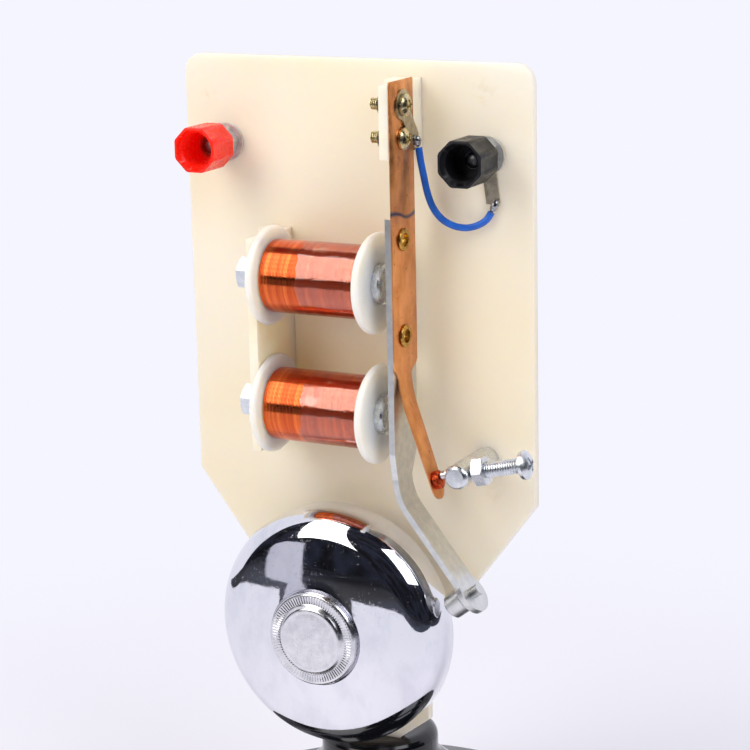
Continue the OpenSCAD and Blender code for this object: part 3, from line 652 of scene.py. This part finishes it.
BOARD_WIDTH = 100.0
BOARD_THICKNESS = 2.5
BOARD_MIDDLE = -(BOARD_FRONT - BOARD_THICKNESS / 2)
BOARD_TOP = 221.0
CORNER_RADIUS = 5.0
CHAMFER_TOP = 107.5
TONGUE_TOP = 65.855
TONGUE_WIDTH = 37.2
SHOULDER_TOP = 44.3
SHOULDER_BOTTOM = 37.6
TENON_WIDTH = 19.4
TENON_END = 20.02


def make_board():
    height = BOARD_TOP - TONGUE_TOP
    board = block((BOARD_WIDTH, BOARD_THICKNESS, height), (0, BOARD_MIDDLE, TONGUE_TOP + height / 2))
    edit_mode()
    slope = Vector((CHAMFER_TOP - TONGUE_TOP, 0, (TONGUE_WIDTH - BOARD_WIDTH) / 2)).normalized()
    for side in (-1, 1):
        bpy.ops.mesh.select_all(action="SELECT")
        bpy.ops.mesh.bisect(
            plane_co=(side * BOARD_WIDTH / 2 * MM, 0, CHAMFER_TOP * MM),
            plane_no=(side * slope.x, 0, slope.z), clear_outer=True, use_fill=True)
    for side in (-1, 1):
        pick(board, lambda x, y, z: x * side > BOARD_WIDTH / 2 - 1 and z > BOARD_TOP - 1
             and abs(y - BOARD_MIDDLE) < 0.1, "EDGE")
        bpy.ops.mesh.bevel(offset=CORNER_RADIUS * MM, segments=10, affect="EDGES")
    pick(board, lambda x, y, z: z < TONGUE_TOP + 0.1 and abs(x) < TONGUE_WIDTH / 2)
    heights = (TONGUE_TOP, SHOULDER_TOP, SHOULDER_BOTTOM, TENON_END)
    narrowing = (1, TENON_WIDTH / TONGUE_WIDTH, 1)
    for above, below, width in zip(heights, heights[1:], narrowing):
        bpy.ops.mesh.extrude_region_move(TRANSFORM_OT_translate={"value": (0, 0, (below - above) * MM)})
        bpy.ops.transform.resize(value=(width, 1, 1), center_override=(0, BOARD_MIDDLE * MM, 0))
    outward(board)
    ease(board, 0.3, 3, 60)
    smooth(board, 40)
    keep(board, "board_slab", "frame", "cream_abs", "board")


make_board()


# Gong: a spun shell with a rolled rim, and the cap that holds it

GONG_X, GONG_RIM_REACH, GONG_Z = -1.3, 9.5, 73.5
GONG_RADIUS = 32.3
SKIRT = 5.85
KNUCKLE = 8.3
CROWN = 110.0
SHEET = 1.2
RIM_ROUND = 0.5
DISH_RADIUS = 13.0
DISH_DEPTH = 0.9
POST_HOLE = 3.1
CROWN_HEIGHT = CROWN + SKIRT - math.sqrt((CROWN - KNUCKLE) ** 2 - (GONG_RADIUS - KNUCKLE) ** 2)
SEAT_HEIGHT = CROWN_HEIGHT - DISH_DEPTH


def dome_rings(inset):
    """The dome's skirt, knuckle and crown at a depth inside its outer face, as far as the dish."""
    radius, knuckle, crown = GONG_RADIUS - inset, KNUCKLE - inset, CROWN - inset
    turn_in = math.degrees(math.asin((radius - knuckle) / (crown - knuckle)))
    centre = SKIRT - math.sqrt((crown - knuckle) ** 2 - (radius - knuckle) ** 2)
    rings = [(radius, RIM_ROUND)] + arc(radius - knuckle, SKIRT, knuckle, 0, 90 - turn_in, 14)
    rings += arc(0, centre, crown, 90 - turn_in, 90 - turn_in * 0.4, 9)[1:-1]
    return [ring for ring in rings if ring[0] > DISH_RADIUS + 0.2]


def make_gong():
    bore = GONG_RADIUS - SHEET
    rim = [(bore + 0.2, 0.12), (GONG_RADIUS - 0.6, 0), (GONG_RADIUS - 0.2, 0.12)]
    dish = [(DISH_RADIUS + 0.1, SEAT_HEIGHT + 0.18), (DISH_RADIUS - 0.1, SEAT_HEIGHT),
            (POST_HOLE, SEAT_HEIGHT), (POST_HOLE, SEAT_HEIGHT - SHEET),
            (DISH_RADIUS + 0.4, SEAT_HEIGHT - SHEET)]
    shell = turned(rim + dome_rings(0) + dish + dome_rings(SHEET)[::-1] + rim[:1], 192)
    smooth(shell, 50)
    set_in_place(shell, aim((0, -1, 0), spot(GONG_X, GONG_RIM_REACH, GONG_Z)))
    keep(shell, "gong_shell", "frame", "chrome", "gong")


# The cap's ring of flutes: every second piece of the ring stands up
FLUTES_INSIDE = 9.7
FLUTES_OUTSIDE = 11.7
FLUTE_DEGREES = 2
FLUTE_HEIGHT = 0.22


def make_cap():
    """A pressed cap: a rounded rim, a ring of milled flutes, and a raised plain middle."""
    cap = turned(
        [(3.02, 0), (12.2, 0), (12.5, 0.35), (12.5, 1.6), (12.35, 2.0), (12.0, 2.2), (11.6, 2.25),
         (10.8, 2.2), (9.7, 2.15), (9.3, 2.3), (8.9, 3.0), (8.5, 3.3), (7.9, 3.38), (7.5, 3.3),
         (7.1, 3.36), (4, 3.45), (1.2, 3.48), (0, 3.5)], 360 // FLUTE_DEGREES)
    edit_mode()
    pick(cap, lambda x, y, z: z > 1 and FLUTES_INSIDE < math.hypot(x, y) < FLUTES_OUTSIDE
         and math.floor(math.degrees(math.atan2(y, x)) / FLUTE_DEGREES) % 2 == 0)
    bpy.ops.mesh.extrude_region_move(TRANSFORM_OT_translate={"value": (0, 0, FLUTE_HEIGHT * MM)})
    outward(cap)
    smooth(cap, 42)
    set_in_place(cap, aim((0, -1, 0), spot(GONG_X, GONG_RIM_REACH + SEAT_HEIGHT, GONG_Z)))
    keep(cap, "gong_cap_milled", "frame", "chrome", "gong_cap", "stamped_cap")


make_gong()
make_cap()


# Threads and screws: radius and pitch of the thread, radius and height of the head

M3 = (1.5, 0.5)
M3_HEAD = (2.8, 2.0)
M4 = (2.0, 0.7)
M4_HEAD = (3.7, 2.6)


def thread(size, length, sides=28):
    """A V thread with a flat crest, standing on Z from 0 to length, with a plain end on a rod inside it."""
    object_mode()
    radius, pitch = size
    root = radius - pitch * 0.5
    bpy.ops.mesh.primitive_circle_add(vertices=4, radius=pitch * MM / 2)
    rod = bpy.context.object
    edit_mode()
    mesh = bmesh.from_edit_mesh(rod.data)
    profile = [(root, 0), (radius, pitch * 0.42), (radius, pitch * 0.58), (root, pitch)]
    mesh.verts.ensure_lookup_table()
    for corner, (x, z) in zip(mesh.verts, profile):
        corner.co = Vector((x, 0, z)) * MM
    mesh.edges.ensure_lookup_table()
    closing = [edge for edge in mesh.edges if {corner.index for corner in edge.verts} == {0, 3}]
    bmesh.ops.delete(mesh, geom=closing, context="EDGES_FACES")
    bmesh.update_edit_mesh(rod.data)
    object_mode()
    sweep(rod, pitch, max(1, int(length / pitch)), sides)
    end = length + pitch
    core = turned([(root - 0.02, 0.05), (root - 0.02, end - 0.3), (root - 0.4, end), (0, end)], sides)
    return join([rod, core])


def pan_head(radius, height):
    """A pan head with a cross recess, standing on its bearing face."""
    recess = radius * 1.05
    edge = height * 0.42
    dome = (radius ** 2 + (height - edge) ** 2) / (2 * (height - edge))
    top = arc(0, height - dome, dome, math.degrees(math.acos(radius / dome)), 90, 9)[1:-1]
    head = turned([(0.3, 0), (radius - 0.25, 0), (radius, 0.25), (radius, edge)] + top + [(0, height)], 64)
    for turn in (0, 90):
        combine(head, block((recess, recess * 0.22, height), (0, 0, height * 0.95), turn), "DIFFERENCE")
    return ease(head, 0.07, 2, 50)


def machine_screw(size, length, head):
    """The screw stands on its bearing face: head above, threaded shank below."""
    shank = thread(size, length - size[1])
    shank.data.transform(Matrix.Rotation(math.pi, 4, "X"))
    return smooth(join([shank, pan_head(*head)]), 40)


# The contact screw's line starts just above the rivet; places on it are distances along it
RIVET_X, RIVET_REACH, RIVET_Z = 28.4, 14.2, 116.2
CONTACT_TILT = math.radians(13)
CONTACT_ALONG = Vector((math.cos(CONTACT_TILT), 0, math.sin(CONTACT_TILT)))
CONTACT_LINE = spot(RIVET_X, RIVET_REACH, RIVET_Z + 1.1)
POST_X = 36.6
THREAD_FROM = 3.25
HEAD_FROM = (POST_X - RIVET_X) / math.cos(CONTACT_TILT) + 16.5


def make_contact_screw():
    screw = machine_screw(M4, HEAD_FROM - THREAD_FROM, M4_HEAD)
    set_in_place(screw, aim(CONTACT_ALONG, CONTACT_LINE + CONTACT_ALONG * HEAD_FROM * MM, 20))
    keep(screw, "contact_screw_threaded", "screw", "zinc_steel", "contact_screw")


# The clamp screws: height, where the head bears, and how far the cross is turned
CLAMP_SCREWS = ((211.4, 20.5, 15), (203.0, 20.0, 60))
CLAMP_SCREW_END = 11.5
CLAMP_REACH = 12.3


def make_clamp_screws():
    pair = []
    for z, face_x, turn in CLAMP_SCREWS:
        screw = machine_screw(M3, face_x - CLAMP_SCREW_END, M3_HEAD)
        pair.append(set_in_place(screw, aim((1, 0, 0), spot(face_x, CLAMP_REACH, z), turn)))
    keep(join(pair), "clamp_screws_threaded", "frame", "yellow_zinc", "clamp_screws")


TERMINAL_X = 37.7
TERMINAL_Z = 198.0
STUD_REAR = -12.5
STUD_FRONT = 9.6


def make_studs():
    """The two terminal studs: threaded right through, from the nuts at the back into the knobs."""
    pair = []
    for side in (-1, 1):
        stud = smooth(thread(M4, STUD_FRONT - STUD_REAR - M4[1]), 40)
        pair.append(set_in_place(stud, aim((0, -1, 0), spot(side * TERMINAL_X, STUD_REAR, TERMINAL_Z))))
    # The studs take the darkened steel, painted shade inside the knob cups.
    keep(join(pair), "terminal_studs_threaded", "frame", "zinc_steel", "terminal_studs", "dark_steel_painted_shade")


make_contact_screw()
make_clamp_screws()
make_studs()


# Binding posts: eight-sided knobs with softened lobes, a cupped front and a narrow neck

GRIP_START = 6.8
KNOB_END = 17.2
KNOB_RADIUS = 6.35
NECK_RADIUS = 4.3
INSERT_RADIUS = 3.02
INSERT_LENGTH = 4.02
STUD_HOLE = 2.15
WEB = 0.38
CUP_RADIUS = 4.25


def make_knob(name, x, start, body, slot, node_name):
    """A knob whose neck starts at a reach: its insert's hole, a thin web round the stud, then the cup."""
    object_mode()
    middle = (GRIP_START + KNOB_END) / 2
    bpy.ops.mesh.primitive_cylinder_add(
        vertices=8, radius=KNOB_RADIUS * MM, depth=(KNOB_END - GRIP_START) * MM, location=(0, 0, 0))
    knob = bpy.context.object
    knob.data.transform(Matrix.Translation((0, 0, middle * MM)) @ Matrix.Rotation(math.pi / 8, 4, "Z"))
    edit_mode()
    pick(knob, lambda px, py, pz: abs(pz - middle) < 0.1, "EDGE")
    bpy.ops.mesh.bevel(offset=0.75 * MM, segments=3, affect="EDGES")
    pick(knob, lambda px, py, pz: abs(pz - middle) < 0.1 and math.hypot(px, py) < 6)
    bpy.ops.mesh.inset(thickness=0.55 * MM, depth=-0.16 * MM, use_individual=True)
    neck = turned([(NECK_RADIUS, start), (NECK_RADIUS, 10)], 64)
    outward(knob)
    ease(knob, 0.22, 3, 35)
    combine(knob, neck, "UNION")
    web = start + INSERT_LENGTH
    hollow = turned([
        (INSERT_RADIUS, start - 1), (INSERT_RADIUS, web), (STUD_HOLE, web), (STUD_HOLE, web + WEB),
        (CUP_RADIUS, web + WEB), (CUP_RADIUS, KNOB_END - 1.6), (CUP_RADIUS + 0.2, KNOB_END - 1.3),
        (5.3, KNOB_END), (5.5, KNOB_END + 0.4)], 72)
    combine(knob, hollow, "DIFFERENCE")
    smooth(knob, 40)
    set_in_place(knob, aim((0, -1, 0), spot(x, 0, TERMINAL_Z)))
    keep(knob, name, body, slot, node_name)


make_knob("red_knob_grip", -TERMINAL_X, 4.4, "red_turn", "red_abs", "red_knob")
make_knob("black_knob_grip", TERMINAL_X, 4.9, "black_turn", "terminal_black", "black_knob")


# Coils: one long wire, wound turn beside turn, and the clear tape over it

COIL_REACH = 13.2
COIL_HEIGHTS = {"upper": 166.0, "lower": 132.0}
BOBBIN_X0 = -19.0
BOBBIN_X1 = 13.4
FLANGE = 2.05
GAP = 0.35
BARREL_RADIUS = 5.7
WIND_START = BOBBIN_X0 + FLANGE + GAP
WIND_END = BOBBIN_X1 - FLANGE
WIND_RADIUS = 9.5
WIRE_PITCH = 0.42
TURN_HEIGHT = 0.06


def make_winding(which):
    """The real wire is about 0.2 mm thick; it is drawn 0.42 mm wide so that the turns can be seen.

    Varnish fills most of the grooves, so each turn stands up by only a fraction of its width. A narrow
    gap is left beside the left flange, where the wire goes in.
    """
    object_mode()
    bpy.ops.mesh.primitive_circle_add(vertices=8, radius=WIRE_PITCH * MM / 2)
    coil = bpy.context.object
    edit_mode()
    bpy.ops.transform.resize(value=(TURN_HEIGHT / WIRE_PITCH, 1, 1), center_override=(0, 0, 0))
    object_mode()
    coil.data.transform(
        Matrix.Translation(((WIND_RADIUS - TURN_HEIGHT / 2) * MM, 0, WIRE_PITCH * MM / 2))
        @ Matrix.Rotation(math.pi / 2, 4, "X"))
    length = WIND_END - WIND_START
    sweep(coil, WIRE_PITCH, int(length / WIRE_PITCH) - 1, 48)
    use(coil)
    edit_mode()
    bpy.ops.mesh.fill_holes(sides=0)
    object_mode()
    under = WIND_RADIUS - TURN_HEIGHT * 0.6
    layers = turned([
        (BARREL_RADIUS, 0), (under, 0), (under, length), (BARREL_RADIUS, length), (BARREL_RADIUS, 0)])
    coil = smooth(join([coil, layers]), 80)
    set_in_place(coil, aim((1, 0, 0), spot(WIND_START, COIL_REACH, COIL_HEIGHTS[which])))
    keep(coil, which + "_coil_turns", "frame", "enamelled_copper", which + "_winding")


TAPE_X0 = -6.0
TAPE_THICKNESS = 0.08


def make_tape(which, seed):
    """A film wrapped once round; its free edge is torn in slow waves."""
    film = turned([(WIND_RADIUS + 0.06, x) for x in (TAPE_X0, -4.5, -1, 3, 7, WIND_END - 0.05)], 120)
    edit_mode()
    mesh = bmesh.from_edit_mesh(film.data)
    caps = [face for face in mesh.faces if len(face.verts) > 4]
    bmesh.ops.delete(mesh, geom=caps, context="FACES_ONLY")
    for corner in mesh.verts:
        if corner.co.z < (TAPE_X0 + 0.5) * MM:
            turn = math.atan2(corner.co.y, corner.co.x)
            tear = 0.5 * math.sin(2 * turn + seed) + 0.35 * math.sin(5 * turn + 2 * seed)
            tear += 0.2 * math.sin(13 * turn + 3 * seed)
            corner.co.z += tear * MM
    bmesh.update_edit_mesh(film.data)
    object_mode()
    modify(film, "SOLIDIFY", thickness=TAPE_THICKNESS * MM, offset=1.0)
    smooth(film, 60)
    set_in_place(film, aim((1, 0, 0), spot(0, COIL_REACH, COIL_HEIGHTS[which])))
    keep(film, which + "_tape_film", "frame", "clear_tape", which + "_tape")


for which, seed in (("upper", 0.4), ("lower", 2.3)):
    make_winding(which)
    make_tape(which, seed)


# Contact spring: a strip drawn out edge by edge, bent at the tongue, thickened, then punched

SPRING_THICKNESS = 0.4
STRIP_WIDTH = 13.0
STRIP_LOW = STRIP_REACH - STRIP_WIDTH / 2
STRIP_HIGH = STRIP_REACH + STRIP_WIDTH / 2
FLAT_BOTTOM = 145.2
SHOULDER = 2.0
TONGUE_TILT = math.radians(20)
TONGUE_BEND = 34.0
TONGUE_END_RADIUS = 3.0
TONGUE_PAST_RIVET = 4.9
EYELET_HEIGHTS = (177.7, 153.0)
EYELET_REACH = 13.0
EYELET_HOLE = 2.16

# Cross lines of the straight part, closer together where the strip flexes
FLAT_HEIGHTS = (217.6, 214, 211, 208, 205, 202, 199, 197, 195, 193, 191,
                189, 187, 185, 182, 179, 175, 170, 165, 160, 155, 150)


def strip_line():
    """The strip's middle line as (x, z): straight down, round the bend, then along the tongue."""
    bend_middle = RIVET_Z + (RIVET_X - STRIP_X) / math.tan(TONGUE_TILT)
    bend_start = bend_middle + TONGUE_BEND * math.tan(TONGUE_TILT / 2)
    line = [(STRIP_X, z) for z in FLAT_HEIGHTS]
    line += arc(STRIP_X + TONGUE_BEND, bend_start, TONGUE_BEND, 180, 180 + math.degrees(TONGUE_TILT), 12)
    last_x, last_z = line[-1]
    length = (last_z - RIVET_Z) / math.cos(TONGUE_TILT) + TONGUE_PAST_RIVET
    for i in range(1, 25):
        along = length * (1 - (1 - i / 24) ** 1.6)
        line.append((last_x + along * math.sin(TONGUE_TILT), last_z - along * math.cos(TONGUE_TILT)))
    return line


def strip_edges(z):
    """The reach of the strip's two edges at a height: full width, a shoulder, a taper, a round end."""
    if z > FLAT_BOTTOM:
        return STRIP_LOW, STRIP_HIGH
    if z > FLAT_BOTTOM - SHOULDER:
        part = (FLAT_BOTTOM - z) / SHOULDER
        return STRIP_LOW + 3.8 * part, STRIP_HIGH - 2.0 * part
    end_z = RIVET_Z - (TONGUE_PAST_RIVET - TONGUE_END_RADIUS) * math.cos(TONGUE_TILT)
    if z > end_z:
        part = (FLAT_BOTTOM - SHOULDER - z) / (FLAT_BOTTOM - SHOULDER - end_z)
        return STRIP_LOW + 3.8 + 1.4 * part, STRIP_HIGH - 2.0 + 0.2 * part
    past = (end_z - z) / (TONGUE_END_RADIUS * math.cos(TONGUE_TILT))
    half = max(0.25, TONGUE_END_RADIUS * math.sqrt(max(0.0, 1 - past ** 2)))
    return RIVET_REACH - half, RIVET_REACH + half


def make_spring():
    object_mode()
    rows = []
    for x, z in strip_line():
        low, high = strip_edges(z)
        rows.append((spot(x, (low + high) / 2, z), high - low))
    (first, width), (second, _) = rows[:2]
    bpy.ops.mesh.primitive_plane_add(size=1)
    strip = bpy.context.object
    strip.data.transform(Matrix.Rotation(math.pi / 2, 4, "Y"))
    strip.data.transform(Matrix.Diagonal((1, width * MM, first.z - second.z, 1)))
    strip.data.transform(Matrix.Translation((first + second) / 2))
    edit_mode()
    pick(strip, lambda x, y, z: abs(z - second.z / MM) < 0.01, "EDGE")
    for (middle, width), (next_middle, next_width) in zip(rows[1:], rows[2:]):
        bpy.ops.mesh.extrude_edges_move(TRANSFORM_OT_translate={"value": next_middle - middle})
        bpy.ops.transform.resize(value=(1, next_width / width, 1), center_override=next_middle)
    bpy.ops.mesh.select_all(action="SELECT")
    bpy.ops.mesh.subdivide(number_cuts=1)
    outward(strip)
    modify(strip, "SOLIDIFY", thickness=SPRING_THICKNESS * MM, offset=0.0)
    for z in EYELET_HEIGHTS:
        punch = turned([(EYELET_HOLE, -2), (EYELET_HOLE, 2)], 48)
        punch.data.transform(aim((1, 0, 0), spot(STRIP_X, EYELET_REACH, z)))
        combine(strip, punch, "DIFFERENCE")
    ease(strip, 0.06, 2, 60)
    smooth(strip, 40)
    keep(strip, "contact_spring_strip", None, "copper", "contact_spring")
    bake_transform(strip)


make_spring()


# Solder on the ends of the blue wire: where each drop starts, which way it runs, its radius and length

SOLDER_DROPS = (
    (spot(21.4, 6.2, 200.2), Vector((-0.16, 0, 1)), 1.05, 2.9),
    (spot(39.1, 1.45, 183.9), Vector((0.42, 0.12, 0.9)), 1.1, 3.4))


def make_solder():
    """Two frozen drops of solder on the bare wire ends: pulled-out spheres, uneven as they cooled."""
    drops = []
    for at, toward, radius, length in SOLDER_DROPS:
        object_mode()
        bpy.ops.mesh.primitive_uv_sphere_add(segments=32, ring_count=20, radius=radius * MM)
        drop = bpy.context.object
        edit_mode()
        bpy.ops.transform.resize(value=(1, 1, length / 2 / radius), center_override=(0, 0, 0))
        pick(drop, lambda x, y, z: z < -0.2, "VERT")
        bpy.ops.transform.resize(value=(0.86, 0.86, 1), center_override=(0, 0, 0))
        pick(drop, lambda x, y, z: z > 0.3 and x > 0, "VERT")
        bpy.ops.transform.translate(value=(0.12 * MM, 0, 0.1 * MM))
        object_mode()
        smooth(drop, 80)
        middle = at + toward.normalized() * (length / 2) * MM
        drops.append(set_in_place(drop, aim(toward, middle)))
    keep(join(drops), "solder_drops", "frame", "solder", "solder_joints")


make_solder()


# Studio, in metres: a pale table, two soft lights, and an unlit room that only gloss shows

BACKDROP = "#F5F5FF"
SHADOW_FADES_FROM = 0.07
SHADOW_FADES_TO = 0.3


def white_seen(tree):
    """1 where the camera, a reflection or clear plastic looks at it, 0 where it only lights."""
    path = add(tree, "ShaderNodeLightPath").outputs
    seen = calculate(tree, "MAXIMUM", path["Is Camera Ray"], path["Is Glossy Ray"])
    return calculate(tree, "MAXIMUM", seen, path["Is Transmission Ray"])


def make_floor():
    """A white laminate table that takes the bell's shadow, and further off is the plain backdrop."""
    object_mode()
    bpy.ops.mesh.primitive_plane_add(size=30, location=(0, 0, 0))
    floor = bpy.context.object
    floor.name = "studio_table"
    material = bpy.data.materials.new("white_laminate_table")
    material.use_nodes = True
    tree = material.node_tree
    tree.nodes.clear()
    output = add(tree, "ShaderNodeOutputMaterial")
    lit = add(tree, "ShaderNodeBsdfPrincipled", {"Base Color": colour("#F0EFF6"), "Roughness": 0.5})
    glow = add(tree, "ShaderNodeEmission", {"Color": colour(BACKDROP), "Strength": 1.0})
    place = add(tree, "ShaderNodeTexCoord").outputs["Object"]
    away = add(tree, "ShaderNodeVectorMath", {0: place}, operation="LENGTH").outputs["Value"]
    fade = add(tree, "ShaderNodeMapRange", {
        "Value": away, "From Min": SHADOW_FADES_FROM, "From Max": SHADOW_FADES_TO},
        interpolation_type="SMOOTHSTEP").outputs["Result"]
    backdrop = calculate(tree, "MULTIPLY", white_seen(tree), fade)
    mix = add(tree, "ShaderNodeMixShader", {0: backdrop, 1: lit.outputs[0], 2: glow.outputs[0]})
    tree.links.new(mix.outputs[0], output.inputs["Surface"])
    floor.data.materials.append(material)


def make_world():
    """Even light from all round, and the backdrop's white where it is looked at."""
    world = bpy.data.worlds.new("studio_air")
    bpy.context.scene.world = world
    world.use_nodes = True
    tree = world.node_tree
    tree.nodes.clear()
    output = add(tree, "ShaderNodeOutputWorld")
    light = add(tree, "ShaderNodeBackground", {"Color": colour("#FBF9FF"), "Strength": 0.54})
    seen = add(tree, "ShaderNodeBackground", {"Color": colour(BACKDROP), "Strength": 1.0})
    mix = add(tree, "ShaderNodeMixShader", {0: white_seen(tree), 1: light.outputs[0], 2: seen.outputs[0]})
    tree.links.new(mix.outputs[0], output.inputs["Surface"])


BELL_MIDDLE = Vector((0, 0, 0.13))


def from_bell(azimuth, height_angle, distance):
    """A place in the studio: azimuth 0 is straight in front of the board, positive to the right."""
    turn, rise = math.radians(azimuth), math.radians(height_angle)
    return BELL_MIDDLE + distance * Vector((
        math.sin(turn) * math.cos(rise), -math.cos(turn) * math.cos(rise), math.sin(rise)))


def make_light(name, azimuth, height_angle, distance, size, lean, power, shade):
    """A rectangular soft box that faces the bell, turned in its own plane by lean."""
    data = bpy.data.lights.new(name, "AREA")
    data.shape = "RECTANGLE"
    data.size, data.size_y = size
    data.energy = power
    data.color = colour(shade)[:3]
    lamp = bpy.data.objects.new(name, data)
    bpy.context.scene.collection.objects.link(lamp)
    at = from_bell(azimuth, height_angle, distance)
    lamp.matrix_world = aim(at - BELL_MIDDLE, at, lean)


def show_in_gloss_only(piece, name, material):
    """A stage piece that only polished surfaces show: it neither lights nor shades anything."""
    piece.name = name
    piece.data.materials.append(material)
    piece.visible_camera = False
    piece.visible_diffuse = False
    piece.visible_shadow = False
    piece.visible_transmission = False


# The dark room, and the white sheet that covers the table inside it
ROOM = 8.0
ROOM_MIDDLE = 0.8
WALLS_END = 0.4
SHEET_FRONT = -0.45
SHEET_LEFT = -0.52
SHEET_RIGHT = 0.7


def make_dark_room():
    """Beyond the white sheet: an unlit floor and walls on the camera's side, and a ceiling."""
    room = block((ROOM / MM, ROOM / MM, ROOM / MM), (0, ROOM_MIDDLE / MM, ROOM / 2 / MM + 1))
    edit_mode()
    pick(room, lambda x, y, z: y * MM > ROOM_MIDDLE + ROOM / 2 - 0.1)
    bpy.ops.mesh.delete(type="FACE")
    for at, across in (((0, SHEET_FRONT, 0), (0, 1, 0)), ((0, WALLS_END, 0), (0, 1, 0)),
                       ((SHEET_LEFT, 0, 0), (1, 0, 0)), ((SHEET_RIGHT, 0, 0), (1, 0, 0))):
        bpy.ops.mesh.select_all(action="SELECT")
        bpy.ops.mesh.bisect(plane_co=at, plane_no=across)
    pick(room, lambda x, y, z: z < 10 and y * MM > SHEET_FRONT and SHEET_LEFT < x * MM < SHEET_RIGHT)
    bpy.ops.mesh.delete(type="FACE")
    pick(room, lambda x, y, z: z * MM < ROOM - 0.1 and y * MM > WALLS_END)
    bpy.ops.mesh.delete(type="FACE")
    object_mode()
    room.data.transform(Matrix.Rotation(CAMERA_AZIMUTH, 4, "Z"))
    material, tree, shader, place = start_finish("black_cloth", Roughness=0.9)
    folds = steps(tree, grain(tree, place, 700, 4), 0, 1, 0.4, 0.62)
    cloth = blend_colours(tree, folds, colour("#14151A"), colour("#343A4C"))
    tree.links.new(cloth, shader.inputs["Base Color"])
    show_in_gloss_only(room, "dark_room", material)


CARD_SIZE = 0.16
CARD_HEIGHT = 0.082


def make_glowing_grey_card():
    """A small grey card standing on the table at the left, seen only as a pale patch in the gong. It glows
    faintly by its own emission though it is no lamp: painted light in that reflection.
    """
    object_mode()
    bpy.ops.mesh.primitive_plane_add(size=1, location=(0, 0, 0))
    card = bpy.context.object
    at = from_bell(-37, 0, 0.72)
    at.z = CARD_HEIGHT
    card.data.transform(Matrix.Diagonal((CARD_SIZE, CARD_SIZE, 1, 1)))
    card.data.transform(aim(Vector((at.x, at.y, 0)) * -1, at))
    # The card's emission is painted light: it glows without a lamp, to brighten its reflection in the gong.
    material, _, shader, _ = start_finish("glowing_grey_card", Roughness=0.8, Emission_Strength=0.5)
    shader.inputs["Base Color"].default_value = colour("#A4A5AC")
    shader.inputs["Emission Color"].default_value = colour("#C6C7D2")
    show_in_gloss_only(card, "glowing_grey_card", material)


make_floor()
make_world()
make_dark_room()
make_glowing_grey_card()
make_light("soft_box_left", azimuth=-32, height_angle=42, distance=1.15, size=(0.6, 1.42), lean=18,
           power=9.75, shade="#FFFCF8")
make_light("soft_box_right", azimuth=72, height_angle=42, distance=1.0, size=(0.6, 0.6), lean=0,
           power=4.6, shade="#F6F8FF")

bpy.context.scene.view_settings.view_transform = "Standard"
